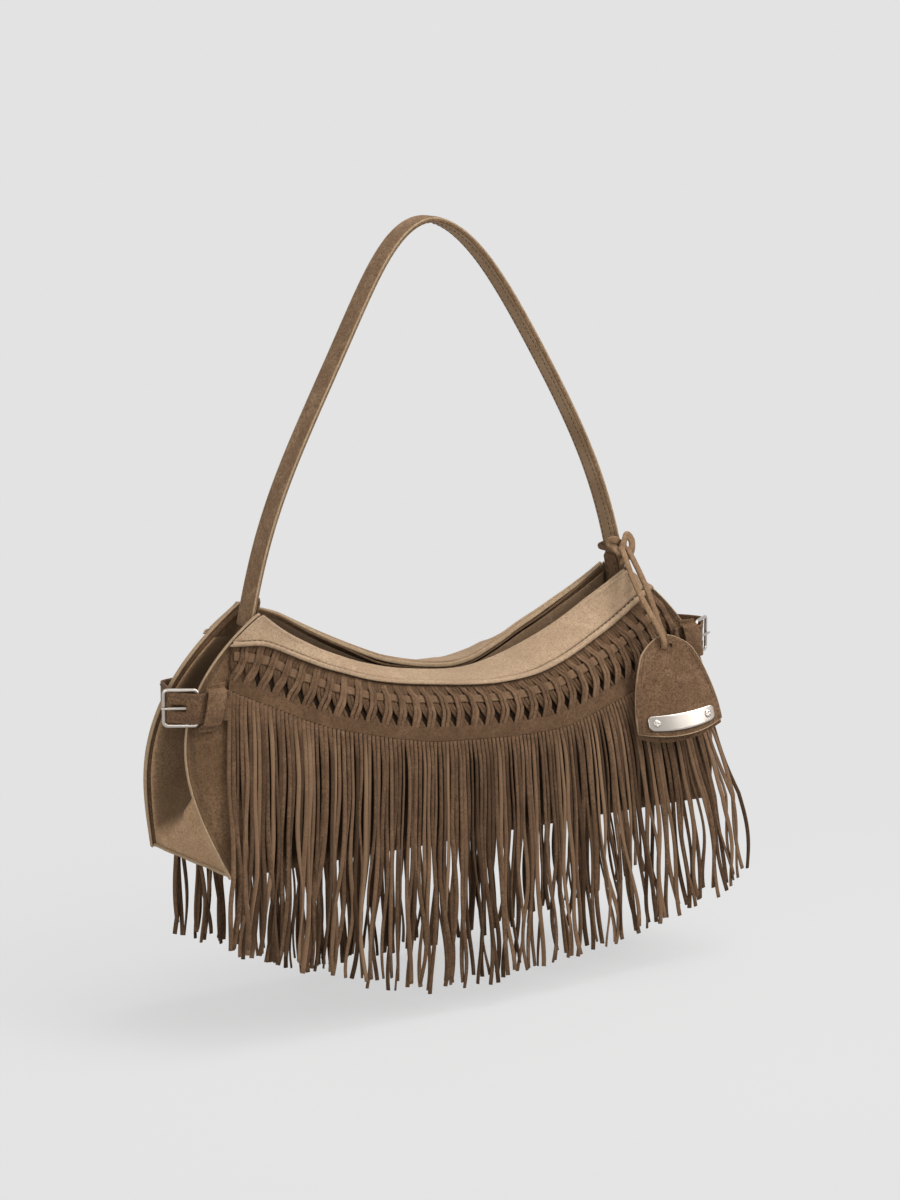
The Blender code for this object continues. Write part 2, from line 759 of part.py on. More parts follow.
def buckle_prong(name, side):
    """The prong, from the heel bar through the belt's slot on to the outer bar."""
    heel = heel_depth()
    rest = FRAME_WIRE / 2 + FIT + PRONG_DIAMETER / 2
    start = HEEL_BAR + FRAME_WIRE / 2 + FIT
    tip = HEEL_BAR + FRAME_LENGTH
    line = [
        (start, heel), (mix(start, tip, 0.4), heel + rest * 0.55),
        (tip - 0.001, heel + rest), (tip + 0.0012, heel + rest),
    ]
    points = [(side * x, -y, BELT_HEIGHT) for x, y in smooth_path(line, 7)]
    place(wire(name, points, PRONG_DIAMETER), SILVER, 0.2, 1.0)


# Tag: two leaves threaded on a lace that is knotted round the strap's right foot


def tag_point(across, down, forward):
    """From the tag's own width, drop and thickness to the bag's frame. The tag leans out at the bottom."""
    across, down, forward = np.broadcast_arrays(*(np.asarray(v, float) for v in (across, down, forward)))
    y = TAG_Y - down * math.sin(TAG_TILT) - forward * math.cos(TAG_TILT)
    z = TAG_TOP - down * math.cos(TAG_TILT) + forward * math.sin(TAG_TILT)
    return np.stack([TAG_X + across, y, z], -1)


def leaf_half_width(share):
    return mix(TAG_TOP_WIDTH / 2, TAG_WIDTH / 2, np.sin(np.clip(share, 0, 1) * math.pi / 2) ** 0.75)


def leaf_bulge(column, share):
    return TAG_BULGE * (1 - np.abs(column) ** 2.4) * np.clip(share - 0.22, 0, 1) ** 0.8


def leaf_rows(extra):
    """Drops from the top, with rows at the slot's edges, and what share of the leaf each one is."""
    slot = [TAG_SLOT_DROP - TAG_SLOT / 2, TAG_SLOT_DROP + TAG_SLOT / 2]
    drops = np.array([0.0, slot[0], slot[1], *np.linspace(0.35, 1.0, 5) * (TAG_HEIGHT + extra)])
    return drops, drops / (TAG_HEIGHT + extra)


def leaf(name, forward, bulge, extra, rounding):
    drops, share = leaf_rows(extra)
    inner = TAG_SLOT / 2
    rows = []
    for d, v in zip(drops, share):
        half = float(leaf_half_width(v))
        columns = np.array([-half, mix(-half, -inner, 0.5), -inner, inner, mix(half, inner, 0.5), half])
        curve = rounding * (1 - (columns / half) ** 2) * v**4
        depth = forward + bulge * leaf_bulge(columns / half, v)
        rows.append(tag_point(columns, d + curve, depth))
    place(sheet(name, np.array(rows), TAG_THICKNESS, [(1, 2)]), SUEDE, parent=tag)


def front_leaf_forward():
    return (TAG_THICKNESS + 2 * FIT) / 2


def tag_leaves():
    leaf("tag_front", front_leaf_forward(), 1.0, 0.0, 0.0025)
    leaf("tag_back", -front_leaf_forward(), -0.15, TAG_BACK_DROP, 0.0035)


def plate_point(across, down, lift):
    share = down / TAG_HEIGHT
    half = leaf_half_width(share)
    curve = 0.0025 * (1 - (across / half) ** 2)
    depth = front_leaf_forward() + leaf_bulge(across / half, share) + lift
    return tag_point(across, down + curve, depth)


def tag_plate():
    """The bare metal plate near the front leaf's lower edge, held by a screw at each end."""
    low = TAG_HEIGHT * 0.95
    across = np.linspace(-PLATE_LENGTH / 2, PLATE_LENGTH / 2, 9)
    lift = TAG_THICKNESS / 2 + 2 * FIT + PLATE_THICKNESS / 2
    p = np.stack([plate_point(across, low, lift), plate_point(across, low - PLATE_HEIGHT, lift)])
    place(sheet("tag_plate", p, PLATE_THICKNESS), SILVER, 0.2, 1.0, parent=tag)
    for name, side in (("tag_screw_left", -1), ("tag_screw_right", 1)):
        x = side * (PLATE_LENGTH / 2 - SCREW_DIAMETER)
        top = lift + PLATE_THICKNESS / 2 + FIT + SCREW_HEIGHT / 2
        middle = low - PLATE_HEIGHT / 2
        at = plate_point(x, middle, top)
        along = plate_point(x + SLIDE, middle, top) - plate_point(x - SLIDE, middle, top)
        down = plate_point(x, middle + SLIDE, top) - plate_point(x, middle - SLIDE, top)
        normal = np.cross(down, along)
        place(disc(name, at, normal, SCREW_DIAMETER, SCREW_HEIGHT, 12), SILVER, 0.25, 1.0, parent=tag)


def pivot():
    """Where the lace hangs from its knot: just in front of the knot, at the right foot of the strap."""
    height = KNOT_HEIGHT - KNOT_DROP
    foot = strap_middle(foot_share(height))
    front = STRAP_WIDTH / 2 + 2 * FIT + 0.8 * KNOT_DEPTH + LACE_DIAMETER / 2
    return np.array([float(foot[0]), -front, height])


def tag_lace():
    """One length of lace: down in front of the leaves, through both slots, and back up behind them."""
    top = pivot()
    gap = TAG_THICKNESS + FIT + LACE_DIAMETER / 2 + 2 * FIT
    apart = np.array([LACE_DIAMETER * 0.62, 0, 0])
    front = tag_point(0.0, 0.0, gap + 0.0012)
    back = tag_point(0.0, 0.0, -gap - 0.0012)
    slot = [tag_point(0.0, TAG_SLOT_DROP, f) for f in (gap, 0.0, -gap)]
    line = [top - apart, mix(top - apart, front, 0.4) + [0, -0.001, 0], front, *slot, back,
            mix(top + apart, back, 0.4) + [0, 0.0005, 0], top + apart]
    place(wire("tag_lace", smooth_path(line, 29), LACE_DIAMETER), SUEDE, parent=tag)


def lace_knot():
    """The lace's loop round the strap's foot, with the knot in front of it."""
    s = foot_share(KNOT_HEIGHT)
    middle = strap_middle(s)
    along = strap_middle(s - 0.01) - strap_middle(s + 0.01)
    along /= np.linalg.norm(along)
    across = np.array([along[2], 0, -along[0]])
    deep = STRAP_WIDTH / 2 + FIT + LACE_DIAMETER / 2
    thick = strap_thickness() / 2 + 3 * FIT + LACE_DIAMETER / 2
    turn = np.linspace(0, 2 * math.pi, 17)[:-1]
    ring = [
        middle + across * thick * np.sign(math.cos(a)) * abs(math.cos(a)) ** 0.5
        + np.array([0, 1, 0]) * deep * np.sign(math.sin(a)) * abs(math.sin(a)) ** 0.5
        for a in turn
    ]
    loop = wire("lace_knot", ring, LACE_DIAMETER, cyclic=True)
    knot = middle - np.array([0, STRAP_WIDTH / 2 + FIT + KNOT_DEPTH / 2, 0])
    bm = bmesh.new()
    bmesh.ops.create_uvsphere(bm, u_segments=12, v_segments=8, radius=1)
    bmesh.ops.scale(bm, verts=bm.verts, vec=(KNOT_WIDTH / 2, KNOT_DEPTH / 2, KNOT_WIDTH / 2))
    bmesh.ops.translate(bm, verts=bm.verts, vec=knot)
    ball = mesh_object("knot_ball", bm)
    for collection in list(ball.users_collection):
        collection.objects.unlink(ball)
    guides.objects.link(ball)
    ball.parent = bag
    ball.hide_render = True
    ball.display_type = "WIRE"
    join = loop.modifiers.new("Knot", "BOOLEAN")
    join.operation = "UNION"
    join.solver = "EXACT"
    join.object = ball
    place(loop, SUEDE)


def build():
    global parts, guides, bag, tag
    for obj in list(bpy.data.objects):
        bpy.data.objects.remove(obj)
    parts = bpy.data.collections.new("fringed_suede_bag")
    guides = bpy.data.collections.new("guides")
    for collection in (parts, guides):
        bpy.context.scene.collection.children.link(collection)
    bag = bpy.data.objects.new("bag_frame", None)
    apex = strap_middle(0.0)
    bag.location = (-apex[0], 0, strap_thickness() / 2 - apex[2])
    parts.objects.link(bag)
    tag = bpy.data.objects.new("tag_pivot", None)
    tag.location = pivot()
    tag.parent = bag
    parts.objects.link(tag)

    for name, flip in (("front", False), ("back", True)):
        panel(name + "_panel", flip)
        yoke(name + "_yoke", flip)
        facing(name + "_facing", flip)
        fringe(name + "_fringe", flip)
        braid_thong(name + "_thong", flip)
    base()
    lining()
    snap()
    strap()
    for name, side in (("left", -1), ("right", 1)):
        gusset(name + "_gusset", side)
        strap_tab(name + "_strap_tab", side)
        belt(name + "_belt", side)
        chape(name + "_chape", side)
        keeper(name + "_keeper", side)
        buckle_frame(name + "_buckle_frame", side)
        buckle_prong(name + "_buckle_prong", side)
    lace_knot()
    tag_leaves()
    tag_plate()
    tag_lace()
    bpy.context.view_layer.update()


build()
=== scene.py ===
import math

import bpy
import numpy as np
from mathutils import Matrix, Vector


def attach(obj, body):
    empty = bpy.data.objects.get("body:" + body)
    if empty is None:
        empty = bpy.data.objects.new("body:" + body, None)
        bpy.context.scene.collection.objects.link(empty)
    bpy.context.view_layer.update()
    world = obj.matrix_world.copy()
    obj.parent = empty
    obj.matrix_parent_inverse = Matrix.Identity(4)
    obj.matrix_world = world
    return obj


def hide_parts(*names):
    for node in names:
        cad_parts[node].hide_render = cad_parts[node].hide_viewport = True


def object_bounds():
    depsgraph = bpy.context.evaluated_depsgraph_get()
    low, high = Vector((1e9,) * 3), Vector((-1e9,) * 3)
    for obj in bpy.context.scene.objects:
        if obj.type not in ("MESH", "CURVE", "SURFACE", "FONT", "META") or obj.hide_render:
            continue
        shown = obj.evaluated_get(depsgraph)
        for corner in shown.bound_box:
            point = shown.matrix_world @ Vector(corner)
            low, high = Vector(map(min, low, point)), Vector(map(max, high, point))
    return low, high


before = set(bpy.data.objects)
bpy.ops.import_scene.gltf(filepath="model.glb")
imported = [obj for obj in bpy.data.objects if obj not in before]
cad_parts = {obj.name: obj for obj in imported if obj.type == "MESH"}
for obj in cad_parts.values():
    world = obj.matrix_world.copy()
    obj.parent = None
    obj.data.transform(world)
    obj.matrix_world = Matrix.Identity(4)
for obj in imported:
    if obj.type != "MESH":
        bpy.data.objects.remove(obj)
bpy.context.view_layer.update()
print("frame loaded")

# All shapes are worked out in the bag's own frame, in metres: X across, Y to the back,
# Z up from the underside of the base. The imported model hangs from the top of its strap.
hang = {"across": 0.009, "drop": 0.39185}
toRow = np.array([hang["across"], 0.0, -hang["drop"]])


# Mesh helpers


def unit(v):
    # v over its own length
    return v / np.maximum(np.linalg.norm(v, axis=-1, keepdims=True), 1e-12)


def mix(a, b, share):
    # From a to b: a + (b - a) times the share
    return a + (b - a) * share


def ease(x):
    # A smooth step: 3x² - 2x³ between 0 and 1, flat outside
    x = np.clip(x, 0, 1)
    return x * x * (3 - 2 * x)


def bump(x, centre, half):
    # A smooth hill: 1 at the centre and 0 from half away, a raised cosine
    return 0.5 + 0.5 * np.cos(np.pi * np.clip((x - centre) / half, -1, 1))


def ripple(x, y, seed, waves=5):
    # Slow random unevenness from -1 to 1: a few sine waves of x and y with random turn, length and phase
    r = np.random.default_rng(seed)
    total = 0
    for _ in range(waves):
        turn = r.uniform(0, 2 * np.pi)
        size = r.uniform(0.7, 1.9)
        total = total + np.sin(size * (x * np.cos(turn) + y * np.sin(turn)) + r.uniform(0, 2 * np.pi))
    return total / waves


def addMesh(name, verts, faces, material):
    # verts is an array of points in the bag's frame, and faces has the corners of one face in each row
    mesh = bpy.data.meshes.new(name)
    flat = np.asarray(verts, float).reshape(-1, 3) + toRow
    mesh.from_pydata(flat.tolist(), [], faces if isinstance(faces, list) else faces.tolist())
    mesh.validate()
    mesh.shade_smooth()
    mesh.materials.append(material)
    obj = bpy.data.objects.new(name, mesh)
    bpy.context.scene.collection.objects.link(obj)
    return obj


def gridFaces(rows, columns, ring=False):
    # Quads between neighbouring rows and columns. ring joins the last column to the first.
    r = np.arange(rows - 1)[:, None]
    c = np.arange(columns if ring else columns - 1)[None, :]
    nxt = (c + 1) % columns
    return np.stack([r * columns + c, r * columns + nxt, (r + 1) * columns + nxt, (r + 1) * columns + c], -1)


def cloth(name, points, thickness, material, holes=None, ring=False, soften=0.35, flip=False):
    # A sheet through the points with rounded edges: a wall is grown on both sides and its edges bevelled
    rows, columns = points.shape[:2]
    faces = gridFaces(rows, columns, ring)
    if holes is not None:
        faces = faces[~holes]
    faces = faces.reshape(-1, 4)
    if flip:
        faces = faces[:, ::-1]
    obj = addMesh(name, points, faces, material)
    solid = obj.modifiers.new("wall", "SOLIDIFY")
    solid.thickness = thickness
    solid.offset = 0.0
    edge = obj.modifiers.new("edge", "BEVEL")
    edge.limit_method = "ANGLE"
    edge.angle_limit = math.radians(50)
    edge.width = thickness * soften
    edge.segments = 2
    return obj


def sweep(name, path, side, up, profile, material, closed=False):
    # Profiles carried along many paths at once. path, side and up are k paths by n points by 3. Each
    # profile point (a, b) goes to path + a·side + b·up.
    if path.ndim == 2:
        path, side, up = path[None], side[None], up[None]
    k, n = path.shape[:2]
    profile = np.asarray(profile, float)
    if profile.ndim == 2:
        profile = profile[None, None]
    m = profile.shape[-2]
    verts = path[:, :, None] + side[:, :, None] * profile[..., :1] + up[:, :, None] * profile[..., 1:]
    one = gridFaces(n + 1 if closed else n, m, ring=True).reshape(-1, 4)
    one = one % (n * m) if closed else one
    faces = (one[None] + (np.arange(k) * n * m)[:, None, None]).reshape(-1, 4).tolist()
    if not closed:
        first = np.arange(m)[None, :] + (np.arange(k) * n * m)[:, None]
        faces += first[:, ::-1].tolist() + (first + (n - 1) * m).tolist()
    return addMesh(name, verts, faces, material)


def roundProfile(radius, sides=12):
    # A circle, by the cosine and sine of equal turns
    a = np.linspace(0, 2 * np.pi, sides, endpoint=False)
    return np.stack([np.cos(a), np.sin(a)], -1) * radius


def flatProfile(width, thickness, power=3.2, sides=12):
    # A flattened superellipse: |x/a|^p + |y/b|^p = 1
    a = np.linspace(0, 2 * np.pi, sides, endpoint=False) + np.pi / sides
    c, s = np.cos(a), np.sin(a)
    return np.stack([np.sign(c) * np.abs(c) ** (2 / power) * width / 2,
                     np.sign(s) * np.abs(s) ** (2 / power) * thickness / 2], -1)


def carried(path):
    # Side and up vectors carried along a path with the least turning
    tangent = unit(np.gradient(path, axis=0))
    side = np.empty_like(path)
    start = np.cross(tangent[0], [0.13, 0.2, 1.0])
    side[0] = start / np.linalg.norm(start)
    for i in range(1, len(path)):
        s = side[i - 1] - tangent[i] * np.dot(side[i - 1], tangent[i])
        side[i] = s / np.linalg.norm(s)
    return side, np.cross(tangent, side)


def curveThrough(points, count):
    # A Catmull-Rom line through the points: each span is the cubic of its four nearest points. Its own
    # points are evenly spaced along its length.
    p = np.asarray(points, float)
    p = np.vstack([2 * p[0] - p[1], p, 2 * p[-1] - p[-2]])
    at = np.linspace(0, len(p) - 3 - 1e-9, count * 6)
    i = at.astype(int)
    f = (at - i)[:, None]
    a, b, c, d = p[i], p[i + 1], p[i + 2], p[i + 3]
    q = 0.5 * (2 * b + (c - a) * f + (2 * a - 5 * b + 4 * c - d) * f**2 + (3 * b - a - 3 * c + d) * f**3)
    return evenly(q, count)


def walked(points):
    # The length gone along the first axis up to each point: the running sum of the steps
    steps = np.cumsum(np.linalg.norm(np.diff(points, axis=0), axis=-1), 0)
    return np.concatenate([np.zeros_like(steps[:1]), steps])


def evenly(path, count):
    # The same line with its points at equal lengths along it
    gone = walked(path)
    at = np.linspace(0, gone[-1], count)
    return np.stack([np.interp(at, gone, path[:, i]) for i in range(path.shape[1])], -1)


def stitches(name, path, normal, material, pitch, length, thick):
    # Thread along a path: a short rounded capsule every pitch, sunk a little at both ends
    gone = walked(path)
    count = max(int(gone[-1] / pitch), 1)
    at = (np.arange(count) + 0.5) * gone[-1] / count

    def on(values):
        return np.stack([np.interp(at, gone, values[:, i]) for i in range(3)], -1)

    middle = on(path)
    along = unit(on(np.gradient(path, axis=0)))
    up = unit(on(np.broadcast_to(normal, path.shape)))
    side = unit(np.cross(along, up))
    station = np.array([-0.5, -0.36, 0.0, 0.36, 0.5])
    size = np.array([0.35, 0.9, 1.0, 0.9, 0.35]) * thick / 2
    height = np.array([-0.5, 0.15, 0.35, 0.15, -0.5]) * thick
    lines = middle[:, None] + along[:, None] * (station * length)[:, None] + up[:, None] * height[:, None]
    profile = roundProfile(1.0, 6)[None, None] * size[None, :, None, None]
    shape = (count, len(station), 3)
    side = np.broadcast_to(side[:, None], shape)
    up = np.broadcast_to(up[:, None], shape)
    return sweep(name, lines, side, up, profile, material)


def addValue(obj, name, values):
    # One number for each vertex, which a material may read
    layer = obj.data.attributes.new(name, "FLOAT", "POINT")
    layer.data.foreach_set("value", np.ravel(values).astype(np.float32))
    return obj


def addTones(obj, count, seed, reach=1.0):
    # One tone round 0.5, drawn from a beta spread, for each of the equal strips that the mesh is made of
    each = len(obj.data.vertices) // count
    tone = 0.5 + reach * (np.random.default_rng(seed).beta(2.2, 2.2, count) - 0.5)
    return addValue(obj, "tone", np.repeat(tone, each))


def made(obj, slotName, *nodes, body="bag"):
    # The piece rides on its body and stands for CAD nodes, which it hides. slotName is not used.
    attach(obj, body)
    if nodes:
        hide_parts(*nodes)
    return obj


# Materials


def nodeGroup(name, inputs, outputs):
    # A group of shader nodes with its inputs, each with a first value, and its outputs
    group = bpy.data.node_groups.new(name, "ShaderNodeTree")
    for label, kind, value in inputs:
        socket = group.interface.new_socket(label, in_out="INPUT", socket_type=kind)
        socket.default_value = value
    for label, kind in outputs:
        group.interface.new_socket(label, in_out="OUTPUT", socket_type=kind)
    return group, group.nodes.new("NodeGroupInput"), group.nodes.new("NodeGroupOutput")


def noiseNode(tree, vector, scale, detail=3.0, rough=0.55, distort=0.0):
    # Fractal noise read at vector times scale. The scale may be a number or a socket.
    node = tree.nodes.new("ShaderNodeTexNoise")
    node.inputs["Detail"].default_value = detail
    node.inputs["Roughness"].default_value = rough
    node.inputs["Distortion"].default_value = distort
    tree.links.new(vector, node.inputs["Vector"])
    if isinstance(scale, (int, float)):
        node.inputs["Scale"].default_value = scale
    else:
        tree.links.new(scale, node.inputs["Scale"])
    return node.outputs["Fac"]


def spread(tree, value, low, high, out=(0.0, 1.0)):
    # A value between low and high goes to the out pair in a straight line, held at both ends
    node = tree.nodes.new("ShaderNodeMapRange")
    node.inputs["From Min"].default_value = low
    node.inputs["From Max"].default_value = high
    node.inputs["To Min"].default_value = out[0]
    node.inputs["To Max"].default_value = out[1]
    tree.links.new(value, node.inputs["Value"])
    return node.outputs["Result"]


def mixColour(tree, factor, a, b):
    # a + (b - a) times the factor, for colours. Each may be a value or a socket.
    node = tree.nodes.new("ShaderNodeMix")
    node.data_type = "RGBA"
    for value, socket in ((factor, node.inputs[0]), (a, node.inputs[6]), (b, node.inputs[7])):
        if hasattr(value, "is_linked"):
            tree.links.new(value, socket)
        else:
            socket.default_value = value
    return node.outputs[2]


def maths(tree, operation, a, b):
    # One operation on two values or sockets
    node = tree.nodes.new("ShaderNodeMath")
    node.operation = operation
    for i, value in enumerate((a, b)):
        if hasattr(value, "is_linked"):
            tree.links.new(value, node.inputs[i])
        else:
            node.inputs[i].default_value = value
    return node.outputs[0]


def stretched(tree, vector, scale):
    # The vector times a scale of its own for each axis
    node = tree.nodes.new("ShaderNodeMapping")
    node.inputs["Scale"].default_value = scale
    tree.links.new(vector, node.inputs["Vector"])
    return node.outputs["Vector"]


def napGroup():
    # Brushed suede: broad patches where the nap lies either way, short streaks, dark specks and fine fibre
    inputs = [
        ("Vector", "NodeSocketVector", (0, 0, 0)),
        ("Dark", "NodeSocketColor", (0.1, 0.06, 0.04, 1)),
        ("Middle", "NodeSocketColor", (0.2, 0.12, 0.08, 1)),
        ("Light", "NodeSocketColor", (0.3, 0.2, 0.13, 1)),
        ("Patch Scale", "NodeSocketFloat", 38.0),
    ]
    outputs = [("Color", "NodeSocketColor"), ("Height", "NodeSocketFloat")]
    group, given, out = nodeGroup("brushedNap", inputs, outputs)
    vector, dark, middle, light = (given.outputs[label] for label in ("Vector", "Dark", "Middle", "Light"))
    patch = noiseNode(group, vector, given.outputs["Patch Scale"], 5.0, 0.62, 0.6)
    streak = noiseNode(group, stretched(group, vector, (420, 420, 150)), 1.0, 3.0, 0.6)
    fibre = noiseNode(group, vector, 2300.0, 2.0, 0.7)
    speck = noiseNode(group, vector, 640.0, 4.0, 0.85)
    tone = mixColour(group, spread(group, patch, 0.30, 0.62, (0.25, 1.0)), dark, middle)
    tone = mixColour(group, spread(group, patch, 0.50, 0.80, (0.0, 0.7)), tone, light)
    tone = mixColour(group, spread(group, streak, 0.40, 0.75, (0.0, 0.30)), tone, light)
    tone = mixColour(group, spread(group, speck, 0.40, 0.56, (0.90, 0.0)), tone, dark)
    tone = mixColour(group, spread(group, fibre, 0.50, 0.66, (0.0, 0.55)), tone, light)
    height = maths(group, "ADD", maths(group, "MULTIPLY", fibre, 0.5), maths(group, "MULTIPLY", speck, 0.5))
    group.links.new(tone, out.inputs["Color"])
    group.links.new(height, out.inputs["Height"])
    return group


def newMaterial(name, rough, metallic=0.0, sheen=0.0):
    # A principled material with its roughness, metal and sheen
    m = bpy.data.materials.new(name)
    m.use_nodes = True
    shader = m.node_tree.nodes["Principled BSDF"]
    shader.inputs["Roughness"].default_value = rough
    shader.inputs["Metallic"].default_value = metallic
    shader.inputs["Sheen Weight"].default_value = sheen
    shader.inputs["Sheen Roughness"].default_value = 0.45
    shader.inputs["Sheen Tint"].default_value = (1.0, 0.86, 0.72, 1.0)
    return m, m.node_tree, shader


def bumped(tree, shader, height, strength, distance):
    # The height, in shares of the distance, leans the shader's normal
    node = tree.nodes.new("ShaderNodeBump")
    node.inputs["Strength"].default_value = strength
    node.inputs["Distance"].default_value = distance
    tree.links.new(height, node.inputs["Height"])
    tree.links.new(node.outputs["Normal"], shader.inputs["Normal"])


def attributeNode(tree, name):
    # The number that the mesh carries under this name
    node = tree.nodes.new("ShaderNodeAttribute")
    node.attribute_name = name
    return node.outputs["Fac"]


def objectVector(tree):
    # The place in the object's own coordinates
    return tree.nodes.new("ShaderNodeTexCoord").outputs["Object"]


nap = napGroup()


def suede(name, dark, middle, light, patch=38.0, grain=0.7, tones=0.0, shaded=False):
    # The nap group's colour. tones lets each strip's own tone darken or lighten it, and shaded paints
    # shade in: the colour goes towards a fifth of the dark colour as far as the mesh's paintedShade says.
    m, tree, shader = newMaterial(name, 0.92, sheen=0.05)
    shader.inputs["Specular IOR Level"].default_value = 0.12
    node = tree.nodes.new("ShaderNodeGroup")
    node.node_tree = nap
    tree.links.new(objectVector(tree), node.inputs["Vector"])
    for label, colour in (("Dark", dark), ("Middle", middle), ("Light", light)):
        node.inputs[label].default_value = (*colour, 1.0)
    node.inputs["Patch Scale"].default_value = patch
    colour = node.outputs["Color"]
    if tones:
        strip = attributeNode(tree, "tone")
        deep = (*(c * 0.55 for c in dark), 1.0)
        pale = (*(c * 1.05 for c in light), 1.0)
        colour = mixColour(tree, spread(tree, strip, 0.5, 0.0, (0.0, tones)), colour, deep)
        colour = mixColour(tree, spread(tree, strip, 0.5, 1.0, (0.0, tones)), colour, pale)
    if shaded:
        # painted shade, as strong as the mesh's paintedShade value
        colour = mixColour(tree, attributeNode(tree, "paintedShade"), colour, (*(c * 0.20 for c in dark), 1.0))
    tree.links.new(colour, shader.inputs["Base Color"])
    bumped(tree, shader, node.outputs["Height"], grain, 0.0005)
    return m


def smoothLeather(name, colour, deep):
    # Full-grain leather: small cells with soft creases between, with painted shade darkening the creases
    m, tree, shader = newMaterial(name, 0.72)
    shader.inputs["Specular IOR Level"].default_value = 0.2
    vector = objectVector(tree)
    cells = tree.nodes.new("ShaderNodeTexVoronoi")
    cells.inputs["Scale"].default_value = 1100.0
    tree.links.new(vector, cells.inputs["Vector"])
    patch = noiseNode(tree, vector, 45.0, 4.0)
    tone = mixColour(tree, spread(tree, patch, 0.3, 0.7), (*deep, 1.0), (*colour, 1.0))
    # painted shade: up to 0.4 of the way to the deep colour towards the cell edges
    tone = mixColour(tree, spread(tree, cells.outputs["Distance"], 0.3, 0.8, (0.0, 0.4)), tone, (*deep, 1.0))
    tree.links.new(tone, shader.inputs["Base Color"])
    bumped(tree, shader, maths(tree, "SUBTRACT", 1.0, cells.outputs["Distance"]), 0.25, 0.0003)
    return m


def polished(name):
    # Satin plated metal: a haze of slow noise in tone and roughness, and faint hairlines of stretched noise
    m, tree, shader = newMaterial(name, 0.24, 1.0)
    vector = objectVector(tree)
    haze = noiseNode(tree, vector, 60.0, 2.0)
    hair = noiseNode(tree, stretched(tree, vector, (250, 3500, 3500)), 1.0, 2.0)
    tree.links.new(spread(tree, haze, 0.3, 0.7, (0.27, 0.31)), shader.inputs["Roughness"])
    tone = mixColour(tree, spread(tree, haze, 0.3, 0.7), (0.50, 0.455, 0.41, 1.0), (0.47, 0.425, 0.38, 1.0))
    tree.links.new(tone, shader.inputs["Base Color"])
    bumped(tree, shader, hair, 0.01, 0.00004)
    return m


def threadFinish(name, colour):
    # Twisted thread: fine noise between its colour and half of it
    m, tree, shader = newMaterial(name, 0.7)
    twist = noiseNode(tree, objectVector(tree), 3000.0, 2.0)
    dark = (*(c * 0.5 for c in colour), 1.0)
    tone = mixColour(tree, spread(tree, twist, 0.35, 0.65), dark, (*colour, 1.0))
    tree.links.new(tone, shader.inputs["Base Color"])
    bumped(tree, shader, twist, 0.5, 0.0002)
    return m


def twillCloth(name, colour, dark):
    # Lining cloth: fine diagonal ribs from a wave along the diagonal of the object's coordinates
    m, tree, shader = newMaterial(name, 0.85, sheen=0.1)
    vector = objectVector(tree)
    rib = tree.nodes.new("ShaderNodeTexWave")
    rib.bands_direction = "DIAGONAL"
    rib.inputs["Scale"].default_value = 420.0
    rib.inputs["Distortion"].default_value = 0.6
    tree.links.new(vector, rib.inputs["Vector"])
    patch = noiseNode(tree, vector, 30.0)
    tone = mixColour(tree, rib.outputs["Fac"], (*dark, 1.0), (*colour, 1.0))
    tone = mixColour(tree, spread(tree, patch, 0.3, 0.7, (0.0, 0.3)), tone, (*dark, 1.0))
    tree.links.new(tone, shader.inputs["Base Color"])
    bumped(tree, shader, rib.outputs["Fac"], 0.3, 0.0003)
    return m


paleSuede = suede(
    "paleSuede", (0.262, 0.174, 0.106), (0.400, 0.278, 0.178), (0.510, 0.372, 0.250), 30.0, shaded=True,
)
bodySuede = suede(
    "bodySuede", (0.068, 0.037, 0.019), (0.130, 0.074, 0.038), (0.225, 0.138, 0.078), 32.0, shaded=True,
)
thongSuede = suede(
    "thongSuede", (0.062, 0.033, 0.017), (0.136, 0.075, 0.041), (0.235, 0.144, 0.084), 75.0, tones=0.95,
)
strapSuede = suede("strapSuede", (0.110, 0.060, 0.031), (0.235, 0.142, 0.078), (0.390, 0.262, 0.160), 75.0)
facingSuede = suede(
    "facingSuede", (0.170, 0.102, 0.056), (0.260, 0.168, 0.098), (0.340, 0.228, 0.140), 40.0, shaded=True,
)
tagSuede = suede("tagSuede", (0.066, 0.034, 0.018), (0.165, 0.093, 0.050), (0.275, 0.172, 0.100), 44.0)
gussetSuede = suede(
    "gussetSuede", (0.220, 0.128, 0.066), (0.440, 0.278, 0.157), (0.580, 0.390, 0.232), 32.0, shaded=True,
)
# a darker copy of the thong suede: the band and the strip under the yoke, and painted shade on the under
# strips
bandAndShadeSuede = suede("bandAndShadeSuede", (0.056, 0.030, 0.015), (0.104, 0.057, 0.030), (0.170, 0.101, 0.056), 45.0)
laceSuede = suede("laceSuede", (0.165, 0.096, 0.050), (0.260, 0.160, 0.090), (0.360, 0.236, 0.145), 90.0)
rawEdge = suede("rawEdge", (0.270, 0.185, 0.110), (0.370, 0.260, 0.160), (0.460, 0.340, 0.225), 200.0, 0.3)
innerLeather = smoothLeather("innerLeather", (0.300, 0.200, 0.118), (0.200, 0.124, 0.066))
darkThread = threadFinish("darkThread", (0.050, 0.030, 0.018))
brownThread = threadFinish("brownThread", (0.120, 0.078, 0.048))
liningTwill = twillCloth("liningTwill", (0.095, 0.066, 0.042), (0.050, 0.033, 0.020))
silver = polished("silver")
print("materials made")


# Body

body = {
    "baseLength": 0.376, "baseDepth": 0.098, "mouthLength": 0.286, "mouthEndGap": 0.024,
    "mouthMiddleGap": 0.006, "rimMiddle": 0.1035, "rimEnd": 0.156, "flare": 0.018, "belly": 0.013,
    "sag": 0.10, "panel": 0.0014, "facingHeight": 0.030, "facingDrop": 0.0038, "facingInset": 0.0045,
    "facingEnd": 0.1400, "facingThick": 0.0012, "seamInset": 0.0045, "seamWidth": 0.0013,
    "seamThick": 0.0030,
}


